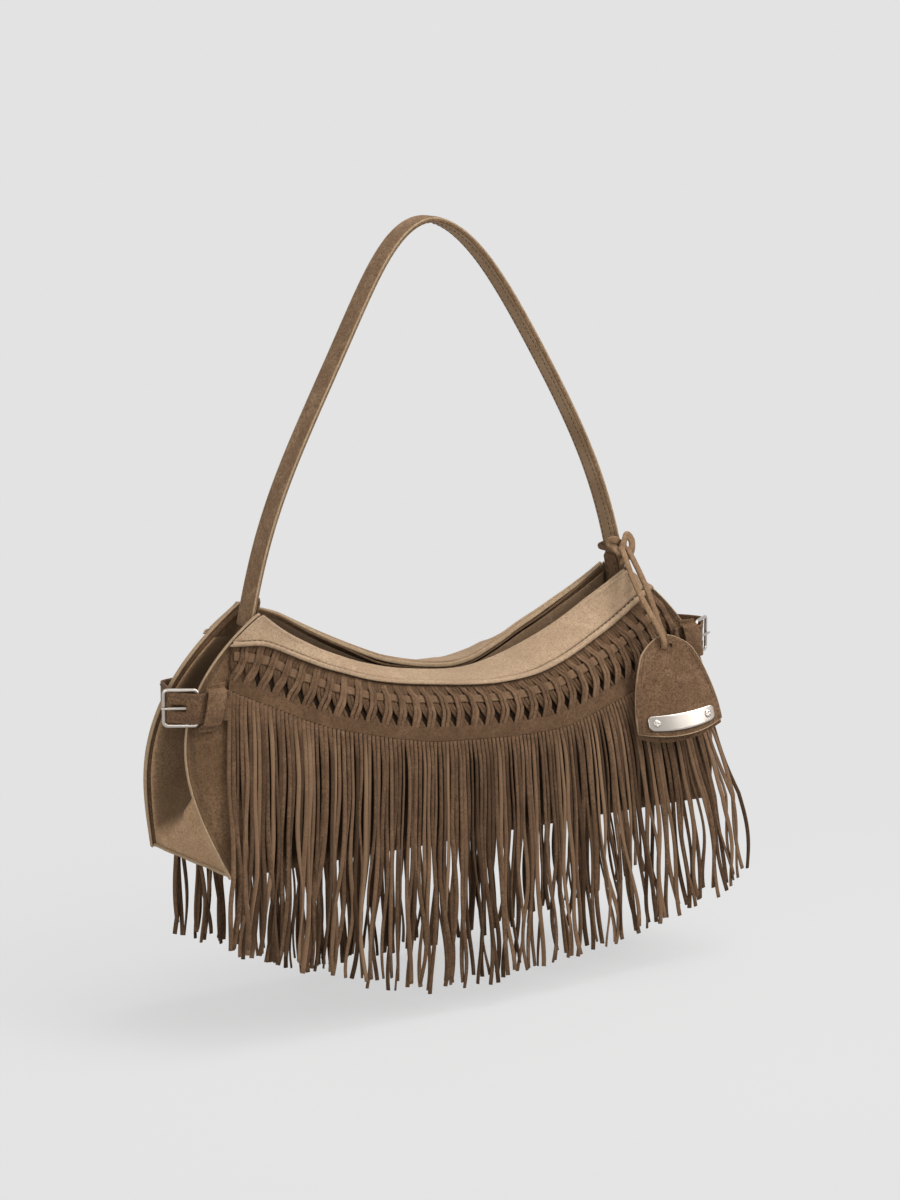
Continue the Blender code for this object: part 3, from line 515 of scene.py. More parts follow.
def wingEdge(t):
    # The end seam: x runs from base to mouth by t⁴ plus a half sine of flare; y falls by (1-t)^1.9
    x = mix(body["baseLength"] / 2, body["mouthLength"] / 2, t**4) + body["flare"] * np.sin(np.pi * t)
    y = mix(body["mouthEndGap"] / 2, body["baseDepth"] / 2, np.clip(1 - t, 0, None) ** 1.9)
    return x, y, body["rimEnd"] * t


def fromSag(u):
    # 0 at the lowest place of the rim and 1 at both ends: |u - sag| over the length on its side
    off = u - body["sag"]
    return np.abs(off) / (1 - body["sag"] * np.sign(off))


def frontSurface(u, t):
    # The front's outer face. The middle is a dome, cos^0.7 in depth and sine in height, with a belly of
    # one half sine; it goes over to the end seam by |u|^2.2 in depth and by the distance from the sag^1.6
    # in height.
    u, t = np.broadcast_arrays(np.asarray(u, float), np.asarray(t, float))
    wx, wy, wz = wingEdge(t)
    turn = np.clip(t, 0, 1) * np.pi / 2
    my = mix(body["mouthMiddleGap"] / 2, body["baseDepth"] / 2, np.cos(turn) ** 0.7)
    my = my + body["belly"] * np.sin(np.pi * t)
    mz = body["rimMiddle"] * np.sin(turn)
    return np.stack([u * wx, -mix(my, wy, np.abs(u) ** 2.2), mix(mz, wz, fromSag(u) ** 1.6)], -1)


def frontNormal(u, t):
    # The surface's normal: across and up taken over a small step each way, and their cross product
    v = np.clip(t, 0.02, 0.97)
    step = 1e-4
    across = frontSurface(u + step, v) - frontSurface(u - step, v)
    up = frontSurface(u, v + step) - frontSurface(u, v - step)
    return unit(np.cross(across, up))


def frontLayer(u, t, lift):
    # The surface point plus the normal times the lift
    u, t = np.broadcast_arrays(np.asarray(u, float), np.asarray(t, float))
    return frontSurface(u, t) + frontNormal(u, t) * np.asarray(lift, float)[..., None]


def onSide(points, side):
    # The front's points as they are, or turned round to the back
    return points * np.array([1, -1, 1]) if side == "back" else points


# The mouth hangs a little open: at each place along it, how far the rim moves down (minus) or up, and
# how far it gapes
mouth = {
    "at": {
        "front": (-0.143, -0.125, -0.10, -0.07, -0.04, -0.02, 0.0, 0.014, 0.04, 0.08, 0.11, 0.143),
        "back": (-0.143, -0.115, -0.08, -0.04, 0.0, 0.03, 0.07, 0.10, 0.143),
    },
    "up": {
        "front": (
            0.0, -0.0055, -0.0088, -0.0098, -0.0088, -0.0075, -0.0065, -0.0056, -0.005, -0.003, 0.0, 0.0,
        ),
        "back": (0.003, 0.0068, 0.0022, -0.0028, -0.0028, -0.0024, 0.003, 0.003, 0.0),
    },
    "gape": 0.0055, "from": 0.40,
}


def smoothTable(at, values):
    # A table read in straight lines, then averaged over a raised cosine window
    grid = np.linspace(-1.2, 1.2, 2401) * max(abs(v) for v in at)
    line = np.interp(grid, at, values)
    window = 161
    weight = np.hanning(window)
    line = np.convolve(np.pad(line, window // 2, mode="edge"), weight / weight.sum(), "valid")
    return lambda x: np.interp(x, grid, line)


rimUp = {side: smoothTable(mouth["at"][side], mouth["up"][side]) for side in ("front", "back")}


def rimHeight(x):
    # The height of the rim's point at x
    return frontSurface(x / (body["mouthLength"] / 2), 1.0)[..., 2]


def relaxed(points, side):
    # The shift of the tables at the rim, fading to nothing towards 0.4 of the rim's height
    x, z = points[..., 0], points[..., 2]
    half = body["mouthLength"] / 2
    near = ease((z / rimHeight(np.clip(x, -half, half)) - mouth["from"]) / (1 - mouth["from"]))
    moved = np.array(points)
    moved[..., 2] += near * rimUp[side](x)
    moved[..., 1] -= near * mouth["gape"] * (bump(x, -0.075, 0.070) + 0.35 * bump(x, 0.05, 0.095))
    return onSide(moved, side)


# Where the fringe is cut, as a share of the height, for places from the left end to the right
fringe = {
    "at": (-1.0, -0.8, -0.55, -0.2, 0.1, 0.3, 0.75, 0.88, 1.0),
    "slit": (0.765, 0.69, 0.582, 0.476, 0.442, 0.430, 0.555, 0.605, 0.66),
    "thongs": 126, "length": {"front": 0.152, "back": 0.170}, "lowest": -0.1030, "flare": 0.024,
    "flareRight": 0.036, "standoff": 0.0034, "width": 0.00255, "thick": 0.0014, "onWall": 16, "below": 17,
    "tipSpread": 0.0045, "clump": 0.0032, "stray": 0.0030, "sway": 0.0027, "bow": 0.0020, "twist": 0.50,
}
slitStart = smoothTable(fringe["at"], fringe["slit"])

# Yoke: the pale top piece, its lower edge turned under and sewn down
yoke = {
    "at": (-1.0, -0.9, -0.8, -0.55, -0.2, 0.1, 0.3, 0.65, 0.85, 1.0),
    "edge": (0.880, 0.910, 0.928, 0.915, 0.865, 0.790, 0.775, 0.838, 0.88, 0.905),
    "lift": 0.0033, "thick": 0.0014, "turned": 0.0042, "puff": 0.0011,
}
yokeEdge = smoothTable(yoke["at"], yoke["edge"])


def sweepOn(name, side, path, across, up, profile, material):
    # A sweep over the front's surface, relaxed with the mouth and turned round where it is the back's
    return sweep(name, relaxed(path, side), onSide(across, side), onSide(up, side), profile, material)


def stitchesOn(name, side, path, normal, material, pitch, length, thick):
    # Stitches over the front's surface, relaxed and turned in the same way
    return stitches(name, relaxed(path, side), onSide(normal, side), material, pitch, length, thick)


def panelPiece(side):
    # The panel, with a turned lip along the end seam and a groove beside it, and shallow dents
    u = np.sin(np.linspace(-np.pi / 2, np.pi / 2, 181))[None, :]
    u = mix(np.linspace(-1, 1, 181)[None, :], u, 0.6)
    t = 1 - np.linspace(1, 0, 49)[:, None] ** 1.3
    fromEnd = (1 - np.abs(u)) * wingEdge(t)[0]
    lip = 0.0009 * bump(fromEnd, 0.0008, 0.0026) - 0.0007 * bump(fromEnd, 0.0042, 0.0018)
    dents = 0.0008 * ripple(u * 11, t * 9, 3 if side == "front" else 4) * bump(u, 0, 1.05) ** 0.3
    p = frontLayer(u, t, -body["panel"] / 2 + lip + dents * ease(fromEnd / 0.02) - 0.0004)
    piece = cloth(side + "Panel", relaxed(p, side), body["panel"], bodySuede, flip=side == "back")
    # painted shade on the panel behind the braid and fringe, below the yoke's edge, clear of ends and base
    under = ease((yokeEdge(u) - t) / 0.03) * ease((0.87 - np.abs(u)) / 0.02) * ease(t / 0.05)
    addValue(piece, "paintedShade", 0.92 * under)
    made(piece, "suede", side + "_panel")
    for end, place in ((-1, "Left"), (1, "Right")):
        t = np.linspace(0.03, 0.985, 160)
        edge = end * (1 - body["seamInset"] / wingEdge(t)[0])
        path = frontLayer(edge, t, 0.0)
        name = side + "SeamStitches" + place
        thread = stitchesOn(name, side, path, frontNormal(edge, t), brownThread, 0.0034, 0.0024, 0.0004)
        made(thread, "dark_suede")
        # the cut edge of the seam, a thin pale line down the end
        t = np.linspace(0.0, 1.0, 180)
        path = frontLayer(end * (1 - 0.0002 / wingEdge(t)[0]), t, -0.0002)
        normal = frontNormal(end * np.ones_like(t), t)
        across = unit(np.cross(unit(np.gradient(path, axis=0)), normal))
        profile = flatProfile(body["seamWidth"], body["seamThick"], 2.6, 10)
        made(sweepOn(side + "SeamEdge" + place, side, path, across, normal, profile, rawEdge), "light_suede")


def yokePiece(side):
    # Rows from the lower edge to the rim. The edge is puffed by a raised cosine, with a groove above it.
    u = np.linspace(-0.997, 0.997, 241)[None, :]
    share = (np.linspace(0, 1, 41)[:, None]) ** 1.25
    t = mix(yokeEdge(u), 1.0, share)
    gone = walked(frontSurface(u, t))
    fromRim = gone[-1:] - gone
    lift = yoke["puff"] * bump(gone, yoke["turned"] * 0.42, yoke["turned"] * 0.62)
    lift = lift - 0.0009 * bump(gone, yoke["turned"], 0.0016)
    lift = lift + 0.0005 * bump(fromRim, 0.001, 0.0026)
    seed = 21 if side == "front" else 22
    waves = 0.0009 * ripple(u * 24, t * 5, seed) + 0.0004 * ripple(u * 70, t * 9, seed + 9)
    p = frontLayer(u, t, yoke["lift"] + lift + waves * ease(gone / 0.012) * ease(fromRim / 0.010))
    piece = cloth(side + "Yoke", relaxed(p, side), yoke["thick"], paleSuede, flip=side == "back")
    # painted shade in the stitch groove of the turned edge, and a little along the lower edge
    paintedShade = 0.75 * bump(gone, yoke["turned"], 0.0012) + 0.35 * bump(gone, 0, 0.0012)
    addValue(piece, "paintedShade", np.clip(paintedShade, 0, 1))
    made(piece, "light_suede", side + "_yoke")
    # the seam that holds the turned edge down
    u = np.linspace(-0.975, 0.975, 400)
    height = np.linalg.norm(frontSurface(u, 1.0) - frontSurface(u, yokeEdge(u)), axis=-1)
    t = mix(yokeEdge(u), 1.0, yoke["turned"] / height)
    path = frontLayer(u, t, yoke["lift"] + yoke["thick"] / 2 - 0.0005)
    name = side + "YokeStitches"
    made(stitchesOn(name, side, path, frontNormal(u, t), darkThread, 0.0040, 0.0030, 0.0009), "dark_suede")
    # the raw cut edge that shows as a thin light line along the rim
    u = np.linspace(-0.985, 0.985, 300)
    path = frontLayer(u, np.ones_like(u), yoke["lift"] * 0.45 + 0.0001 * ripple(u * 60, u * 0, 5))
    normal = frontNormal(u, np.ones_like(u))
    across = np.cross(unit(np.gradient(path, axis=0)), normal)
    profile = flatProfile(0.0016, 0.0030, 3.0, 10)
    made(sweepOn(side + "RimEdge", side, path, across, normal, profile, rawEdge), "light_suede")


def facingFront(x):
    # The facing's distance from the middle plane: from the middle's to the end's by |x|², x as a share
    end = body["mouthEndGap"] / 2 - body["panel"] - 0.0018
    return mix(body["facingInset"], end, (np.abs(x) / (body["mouthLength"] / 2)) ** 2)


def facingPiece(side):
    # The leather strip hanging inside the mouth, slightly uneven along its lower edge
    x = np.linspace(-body["facingEnd"], body["facingEnd"], 121)[None, :]
    down = np.linspace(1, 0, 16)[:, None]
    z = rimHeight(x) - body["facingDrop"] - body["facingHeight"] * down
    y = -facingFront(x) - 0.0004 * ripple(x * 120, down * 3, 8) * down
    p = np.stack([x + 0 * z, y, z], -1)
    thick = body["facingThick"]
    piece = cloth(side + "Facing", relaxed(p, side), thick, facingSuede, flip=side == "back")
    # painted shade inside the mouth: strong at the left end, fading to a little from the middle rightwards
    addValue(piece, "paintedShade", mix(0.80, 0.15, ease((x + 0.06) / 0.09)) + 0 * z)
    made(piece, "leather", side + "_facing")


gusset = {
    "lowest": 0.004, "highest": 0.891, "depth": 0.046, "wrinkle": 0.0016, "thick": 0.0012, "inset": 0.003,
    "creaseLow": 0.03, "creaseRise": 0.30, "baseSeam": (0.0026, 0.0024),
}


def gussetPiece(end):
    # The end wall, folded inwards: its depth is 1 - |s|^1.4 across, and grows with the height over the
    # crease^0.8. Wrinkles run down the fold as a sine of s.
    name = "left" if end < 0 else "right"
    t = np.linspace(gusset["lowest"], gusset["highest"], 61)[:, None]
    s = np.linspace(-1, 1, 61)[None, :]
    x, y, z = wingEdge(t)
    crease = gusset["creaseLow"] + gusset["creaseRise"] * (1 - s) / 2
    fold = np.clip((t - crease) / 0.24, 0, 1) ** 0.8 * np.clip((1.02 - t) / 0.30, 0.16, 1)
    depth = gusset["depth"] * fold * (1 - np.abs(s) ** 1.4)
    wrinkle = gusset["wrinkle"] * np.sin(9 * s + 2.2 * np.sin(5 * t)) * ease(t / 0.3) * (1 - np.abs(s) ** 3)
    reach = y - body["panel"] - gusset["thick"]
    inward = x - gusset["inset"] - depth - wrinkle
    p = np.stack([end * inward, s * reach + 0 * t, z + 0.002 * np.sin(3 * s) * fold], -1)
    piece = cloth(name + "Gusset", p, gusset["thick"], gussetSuede, flip=end < 0)
    # painted shade in the fold: above the crease, deeper towards the top, over nearly the whole width
    deep = 0.72 * ease((t - crease) / 0.08) + 0.24 * ease((t - 0.45) / 0.3)
    addValue(piece, "paintedShade", np.clip(deep * (1 - np.abs(s) ** 30), 0, 1))
    made(piece, "dark_suede", name + "_gusset")
    # the seam at the bottom of the end wall, a soft pale edge
    across = np.linspace(-1, 1, 60)
    seamX = 0 * across + end * (body["baseLength"] / 2 - 0.0016)
    seamY = across * (body["baseDepth"] / 2 - 0.0008)
    path = np.stack([seamX, seamY, 0.0012 + 0.0003 * ripple(across * 9, across * 0, 13)], -1)
    side = np.broadcast_to([1.0, 0, 0], path.shape)
    up = np.broadcast_to([0, 0, 1.0], path.shape)
    profile = flatProfile(*gusset["baseSeam"], 2.4, 12)
    made(sweep(name + "BaseSeam", path, side, up, profile, rawEdge), "light_suede")


def basePiece():
    # The stiff bottom with soft edges: a superellipse outline in plan, filled in rings to its middle
    ring = np.linspace(0, 2 * np.pi, 120, endpoint=False)[None, :]
    c, s = np.cos(ring), np.sin(ring)
    size = np.array([0.0, 0.6, 0.9, 0.985, 1.0, 1.0, 0.985, 0.9, 0.6, 0.0])[:, None] + 1e-5
    z = np.array([0.0, 0.0, 0.0, 0.0001, 0.0006, 0.0024, 0.0029, 0.003, 0.003, 0.003])[:, None]
    x = 0.1832 * size * np.sign(c) * np.abs(c) ** 0.12
    y = 0.0458 * size * np.sign(s) * np.abs(s) ** 0.12
    p = np.stack([x, y, z + 0 * x], -1)
    faces = gridFaces(10, 120, True).reshape(-1, 4)[:, ::-1]
    made(addMesh("basePanel", p, faces, bodySuede), "suede", "base_panel")


lining = {
    "reach": 0.1398, "floor": 0.0058, "inset": 0.0075, "thick": 0.0008, "closeFrom": 0.62, "folds": 0.0011,
}


def liningPiece():
    # The cloth bag inside: rings that follow the panels, and close to the facings' lower edges at the top
    turn = np.linspace(0, 2 * np.pi, 144, endpoint=False)[None, :]
    level = np.linspace(0, 1, 30)[:, None]
    x = lining["reach"] * np.cos(turn)
    top = rimHeight(x) - body["facingDrop"] - body["facingHeight"] - 0.001
    z = mix(lining["floor"], top, level) + 0 * x
    t = np.clip(z / mix(body["rimMiddle"], body["rimEnd"], fromSag(x / 0.17) ** 1.6), 0, 1)
    wall = np.abs(frontSurface(x / 0.185, t * 0.86)[..., 1]) - lining["inset"]
    close = ease((level - lining["closeFrom"]) / (1 - lining["closeFrom"]))
    wide = mix(wall, facingFront(x) + 0 * wall, close)
    folds = lining["folds"] * ripple(turn * 9, level * 6, 31) * (1 - close)
    p = np.stack([x + 0 * z, -np.sin(turn) * (wide + folds), z], -1)
    bottom = p[:1] * np.array([0.96, 0.0, 1.0])
    p = np.concatenate([bottom, p])
    made(cloth("lining", p, lining["thick"], liningTwill, ring=True), "cloth", "lining")


for side in ("front", "back"):
    panelPiece(side)
    yokePiece(side)
    facingPiece(side)
for end in (-1, 1):
    gussetPiece(end)
basePiece()
liningPiece()
print("body made")


# Braid and fringe

braid = {
    "cells": 34, "topSpan": 0.985, "slitLeft": 0.905, "slitRight": 0.935, "lift": 0.0014,
    "thongWidth": 0.0025, "pairGap": 0.24, "lace": 0.275, "laceWidth": 0.0060, "crossTop": 0.40,
    "crossEnd": 0.80, "cross": 0.60, "overLace": 0.0021, "overCross": 0.0022, "sink": 0.0024,
}


def overlay(column, row, lift):
    # column -1 to 1 across the overlay; row 0 at the yoke's edge and 1 where the fringe is cut
    slit = np.where(np.asarray(column) < 0, braid["slitLeft"], braid["slitRight"])
    span = mix(braid["topSpan"], slit, row)
    u = column * span
    t = mix(yokeEdge(u), slitStart(u), row)
    return frontLayer(u, t, lift), frontNormal(u, t)


def ribbons(name, side, column, row, lift, width, thick, material):
    # Flat thongs whose middle lines are given as arrays of column, row and lift
    path, normal = overlay(column, row, lift)
    along = unit(np.gradient(path, axis=1))
    across = unit(np.cross(along, normal))
    normal = unit(np.cross(across, along))
    mirror = -1 if side == "back" else 1
    piece = sweepOn(name, side, path, across * mirror, normal, flatProfile(width, thick), material)
    return addTones(piece, len(path), len(name), 0.35)


def braidPieces(side):
    # In each cell a pair of strips moves half a cell to the right below the lace, under the pair that
    # moves to the left. Heights over the panel are raised cosines round the lace and the crossing.
    cell = 2 / braid["cells"]
    strips = 2 * braid["cells"]
    left = -1 + np.arange(braid["cells"]) * cell
    pair = np.array([-0.5, 0.5]) * braid["pairGap"] * cell
    seed = np.random.default_rng(51 if side == "front" else 52)
    path = np.linspace(-0.05, 0.88, 36)
    rows = np.broadcast_to(path, (strips, len(path)))
    sunk = braid["sink"] * ease((path - braid["crossEnd"] + 0.02) / 0.07)
    slide = ease((path - braid["crossTop"]) / (braid["crossEnd"] - braid["crossTop"]))
    apart = pair[None, :, None] * (1 + 0.22 * np.sin(np.pi * slide))

    def strands(first, last):
        column = left[:, None, None] + cell * mix(first, last, slide)[None, None, :] + apart
        return column.reshape(-1, len(path)) + seed.uniform(-0.02, 0.02, (strips, 1)) * cell

    # the strips that pass under the lace, then cross to the right behind
    low = braid["lift"] - 0.0006 * bump(path, braid["lace"], 0.16)
    low = low - 0.0006 * bump(path, braid["cross"], 0.2) - sunk
    low = np.broadcast_to(low, rows.shape)
    under = strands(0.25, 0.75)
    width = braid["thongWidth"]
    # the strips under the lace take the darker band suede as painted shade
    made(ribbons(side + "UnderStrips", side, under, rows, low, width, 0.0011, bandAndShadeSuede), "dark_suede")

    # the strips that pass over the lace, then cross to the left in front
    high = braid["lift"] + braid["overLace"] * bump(path, braid["lace"], 0.20)
    high = high + braid["overCross"] * bump(path, braid["cross"], 0.24) - sunk
    over = strands(0.75, 0.25)
    high = high + seed.uniform(-0.0002, 0.0003, (strips, 1))
    made(ribbons(side + "OverStrips", side, over, rows, high, width, 0.0012, thongSuede), "dark_suede")

    # the lace: one long flat thong, over the under strips and under the over strips
    column = np.linspace(-0.99, 0.99, 900)[None, :]
    weave = np.cos(2 * np.pi * ((column + 1) / cell - 0.25))
    lift = braid["lift"] + 0.0006 + 0.0003 * weave
    row = braid["lace"] + 0.008 * np.sin(column * 40)
    lace = ribbons(side + "BraidLace", side, column, row, lift, braid["laceWidth"], 0.0010, thongSuede)
    made(lace, "dark_suede", side + "_thong")

    # the uncut band between the crossings and the fringe, with a slight pucker at each crossing
    column = np.linspace(-1, 1, braid["cells"] * 12 + 1)[None, :]
    row = np.linspace(braid["crossEnd"] - 0.03, 1.0, 12)[:, None]
    fading = 1 - ease((row - braid["crossEnd"]) / 0.14)
    pucker = 0.0005 * np.cos(2 * np.pi * (column + 1) / cell) * fading
    p, _ = overlay(column, row, braid["lift"] + 0.0003 + pucker + 0.0003 * ripple(column * 30, row * 4, 61))
    made(cloth(side + "BraidBand", relaxed(p, side), 0.0012, bandAndShadeSuede, flip=side == "back"), "dark_suede")

    # the strip that the overlay hangs from, under the yoke's edge
    row = np.linspace(-0.10, 0.02, 6)[:, None]
    p, _ = overlay(column, row, braid["lift"] + 0 * column)
    made(cloth(side + "BraidTop", relaxed(p, side), 0.0011, bandAndShadeSuede, flip=side == "back"), "dark_suede")


def fringePiece(side):
    # Every thong follows the panel down to the belly's furthest place, then hangs. Its share of the length
    # gives the flare as share^0.8, the sway as share^1.4 times a sine, and the turn of its face.
    r = np.random.default_rng(71 if side == "front" else 72)
    k = fringe["thongs"]
    column = (np.arange(k) + 0.5) / k * 2 - 1
    u = (column * np.where(column < 0, braid["slitLeft"], braid["slitRight"]))[:, None]
    onWall = np.linspace(1.0, 0.0, fringe["onWall"])[None, :]
    wall = frontSurface(u, slitStart(u) * onWall)
    start, normal = overlay(column, np.ones(k), braid["lift"] + 0.0003)
    z0 = start[:, 2:3]
    length = (fringe["length"][side] + 0.010 * bump(column, -0.25, 0.55))[:, None]
    uneven = r.uniform(-fringe["tipSpread"], fringe["tipSpread"], (k, 1))
    tip = np.maximum(z0 - length, fringe["lowest"]) + uneven
    hanging = np.linspace(0, 1, fringe["below"] + 1)[None, 1:]
    z = np.concatenate([wall[..., 2] + (z0 - wall[:, :1, 2]), mix(0.0, tip, hanging)], 1)
    share = np.clip((z0 - z) / length, 0, 1.05)
    standoff = mix(0.0016, fringe["standoff"], ease(share[:, :fringe["onWall"]] * 3))
    reached = np.minimum.accumulate(wall[..., 1], 1) - standoff
    furthest = np.minimum(start[:, 1], reached[:, -1])[:, None]
    y = np.concatenate([np.minimum(start[:, 1:2], reached), np.repeat(furthest, fringe["below"], 1)], 1)
    free = ease((share - 0.30) / 0.7)
    flare = np.where(column < 0, fringe["flare"], mix(fringe["flare"], fringe["flareRight"], column**2))
    flare = flare * (np.where(column < 0, -0.2, 0.8) if side == "back" else 1.0)
    x = start[:, :1] + (flare * column)[:, None] * share**0.8
    group = np.repeat(r.uniform(-1, 1, k // 4 + 1), 4)[:k, None]
    x = x + free * (fringe["clump"] * group + r.normal(0, fringe["stray"], (k, 1)))
    waves = np.sin(share * r.uniform(6, 14, (k, 1)) + r.uniform(0, 6, (k, 1)))
    x = x + fringe["sway"] * share**1.4 * waves
    x = x + 0.0005 * ease(share / 0.15) * r.uniform(-1, 1, (k, 1))
    beat = 0.0028 * np.sin(np.arange(k) * 2.4)[:, None]
    y = y - free * (0.0030 + beat + r.uniform(-0.0012, 0.0012, (k, 1)))
    y = y + fringe["bow"] * share * np.sin(share * r.uniform(5, 11, (k, 1)) + r.uniform(0, 6, (k, 1)))
    y = y - 0.0013 * ease(share / 0.12) * r.uniform(-0.3, 1, (k, 1))
    path = np.stack([x, y, z], -1)
    along = unit(np.gradient(path, axis=1))
    facing = unit(mix(normal[:, None], np.array([0, -1.0, 0]), ease(share * 3)[..., None]))
    across = unit(np.cross(along, facing))
    facing = unit(np.cross(across, along))
    turn = ease((share - 0.05) / 0.80) * r.normal(0, fringe["twist"], (k, 1))
    turn = turn + 0.42 * ease(share / 0.08) * r.normal(0, 1, (k, 1))
    turn = turn + 0.35 * share * np.sin(share * r.uniform(6, 14, (k, 1)))
    c, s = np.cos(turn)[..., None], np.sin(turn)[..., None]
    across, facing = across * c + facing * s, facing * c - across * s
    wider = (1 + 0.16 * ease(share * 1.4))[..., None, None]
    width = fringe["width"] * (1 + r.uniform(-0.10, 0.10, (k, 1, 1, 1))) * wider
    size = np.concatenate([width, np.full_like(width, fringe["thick"])], -1)
    profile = flatProfile(1.0, 1.0, 2.5)[None, None] * size
    mirror = -1 if side == "back" else 1
    piece = sweepOn(side + "Fringe", side, path, across * mirror, facing, profile, thongSuede)
    addTones(piece, k, 7)
    # the tones fade in over the first part of each thong, so the cut line stays one colour
    fade = np.repeat(ease(share / 0.13)[..., None], profile.shape[-2], -1)
    layer = piece.data.attributes["tone"].data
    tone = np.empty(len(piece.data.vertices), np.float32)
    layer.foreach_get("value", tone)
    layer.foreach_set("value", (0.5 + (tone - 0.5) * fade.ravel()).astype(np.float32))
    made(piece, "dark_suede", side + "_fringe")


for side in ("front", "back"):
    braidPieces(side)
    fringePiece(side)
print("braid and fringe made")


# Strap

strap = {
    "width": 0.016, "drop": 0.248, "foot": 0.146, "spread": 0.006, "lean": -0.009, "thick": 0.0043,
    "seam": 0.0046, "tabHalf": 0.007, "tabThick": 0.0014, "tabSeam": 0.0048,
}


def strapMiddle(s):
    # Height falls from the top as |s|^1.8; x is s with a small S curve, and the arch leans a little
    s = np.asarray(s, float)
    up = 1 - np.abs(s) ** 1.8
    foot = body["mouthLength"] / 2 + strap["spread"] / 2
    x = foot * np.sign(s) * (np.abs(s) + 0.03 * np.sin(2 * np.pi * up)) + strap["lean"] * up**4
    return np.stack([x, 0 * x, strap["foot"] + strap["drop"] * up], -1)


def strapPath(count):
    # Points at equal lengths along the strap, found from a half sine of s that is dense at the feet, and
    # the directions across it and outwards
    s = np.sin(np.linspace(-np.pi / 2, np.pi / 2, count * 4) * 0.985) / math.sin(np.pi / 2 * 0.985)
    path = evenly(strapMiddle(s), count)
    along = unit(np.gradient(path, axis=0))
    outward = np.stack([-along[:, 2], 0 * along[:, 0], along[:, 0]], -1)
    across = np.broadcast_to([0, 1.0, 0], path.shape)
    return path, across, outward


def strapPieces():
    # Cover and lining: two closed profiles carried along the strap's middle line
    path, across, outward = strapPath(260)
    along = np.linspace(0, 60, 260)
    wander = 0.0003 * ripple(along, along * 0, 81)[:, None]
    half = strap["width"] / 2
    # outer cover: crowned by |a|^4, edges rolled down over the core towards the lining
    a = np.linspace(-1, 1, 25)
    outer = np.stack([half * np.sign(a) * np.abs(a) ** 0.9, 0.00205 - 0.0006 * np.abs(a) ** 4], -1)
    roll = np.array([
        [half + 0.0002, 0.0006], [half + 0.0001, -0.0004],
        [half - 0.0006, -0.0011], [half - 0.0016, -0.0012],
    ])
    under = np.stack([np.linspace(half - 0.002, -half + 0.002, 9), np.full(9, -0.0008)], -1)
    profile = np.concatenate([outer, roll, under, roll[::-1] * [-1, 1]])
    cover = sweep("strapCover", path + across * wander, across, outward, profile[::-1], strapSuede)
    made(cover, "suede", "strap_cover", "strap_core")
    # inner lining: smooth leather, slightly proud in the middle and thinned to its edges by |b|^6
    b = np.linspace(-1, 1, 21)
    half = half - 0.0009
    face = np.stack([half * b, -0.00215 + 0.0005 * np.abs(b) ** 6], -1)
    back = np.stack([half * b[::-1] * 0.98, np.full(21, -0.00125)], -1)
    lined = sweep("strapLining", path, across, outward, np.concatenate([face, back]), innerLeather)
    made(lined, "leather", "strap_lining")
    for side, place in ((-1, "Front"), (1, "Back")):
        line = path + across * (side * strap["seam"]) - outward * 0.00212
        name = "strapStitches" + place
        thread = stitches(name, line[3:-3], -outward[3:-3], darkThread, 0.0036, 0.0026, 0.0004)
        made(thread, "dark_suede")
        # the folded edge, a thin paler line where the nap is worn
        line = path + across * (side * (strap["width"] / 2 + 0.00005)) + outward * 0.0009
        profile = flatProfile(0.0009, 0.0013, 2.4, 8)
        made(sweep("strapEdge" + place, line, across, outward, profile, rawEdge), "light_suede")


def strapTab(end):
    # The tab inside the mouth that the strap's foot is sewn to. Its width falls by a quarter towards the
    # far end, in a smooth step, which rounds its corners.
    name = "left" if end < 0 else "right"
    s = end * np.linspace(1.0, 0.957, 22)
    line = strapMiddle(s)
    along = unit(np.gradient(line, axis=0))
    inward = np.stack([-along[:, 2], 0 * along[:, 0], along[:, 0]], -1) * np.sign(along[:, 2:3]) * end
    line = line + inward * (strap["thick"] / 2 + 0.0003 + 0.00075)
    across = np.linspace(-1, 1, 17)[None, :]
    far = np.linspace(0, 1, 22)[:, None]
    half = strap["tabHalf"] * (1 - 0.25 * ease((far - 0.86) / 0.14))
    p = line[:, None] + np.array([0, 1.0, 0]) * (across * half)[..., None]
    made(cloth(name + "StrapTab", p, strap["tabThick"], bodySuede), "suede", name + "_strap_tab")
    for dot, place in ((-1, "Front"), (1, "Back")):
        path = line[3:18] + np.array([0, dot * strap["tabSeam"], 0]) + inward[3:18] * 0.0008
        label = name + "TabStitches" + place
        made(stitches(label, path, inward[3:18], darkThread, 0.0036, 0.0026, 0.0006), "dark_suede")


strapPieces()
for end in (-1, 1):
    strapTab(end)
print("strap made")


# Side belts, keepers and buckles

belt = {
    "height": 0.104, "width": 0.019, "thick": 0.0014, "end": 0.1735, "heelBar": 0.1945, "curl": 0.0115,
    "frameTurn": math.radians(34), "frameLength": 0.0212, "frameRound": 0.0026, "wire": 0.0022,
    "prong": 0.0018, "chapeWidth": 0.016, "chapeThick": 0.0009, "fit": 0.0003, "margin": 0.003,
    "wallEnd": 0.1935, "turnIn": 0.1925, "seam": 0.0023, "keeperInner": 0.1800, "keeperWidth": 0.0130,
    "keeperLean": 0.22, "keeperThick": 0.0012, "keeperFoot": 0.004, "keeperSwell": 0.0012,
}


def wallAt(x, low, high):
    # How far the wall reaches forward at x: its greatest distance from the middle plane between two heights
    t = np.linspace(0.4, 0.95, 240)
    p = frontSurface(np.clip(x / wingEdge(t)[0], 0, 1), t)
    inside = (p[:, 2] > low) & (p[:, 2] < high)
    return float(-p[inside, 1].min())


def beltWall(x):
    # The wall behind the belt at x, over the belt's width and a margin on both sides
    reach = belt["width"] / 2 + belt["margin"]
    return wallAt(min(x, belt["wallEnd"]), belt["height"] - reach, belt["height"] + reach)


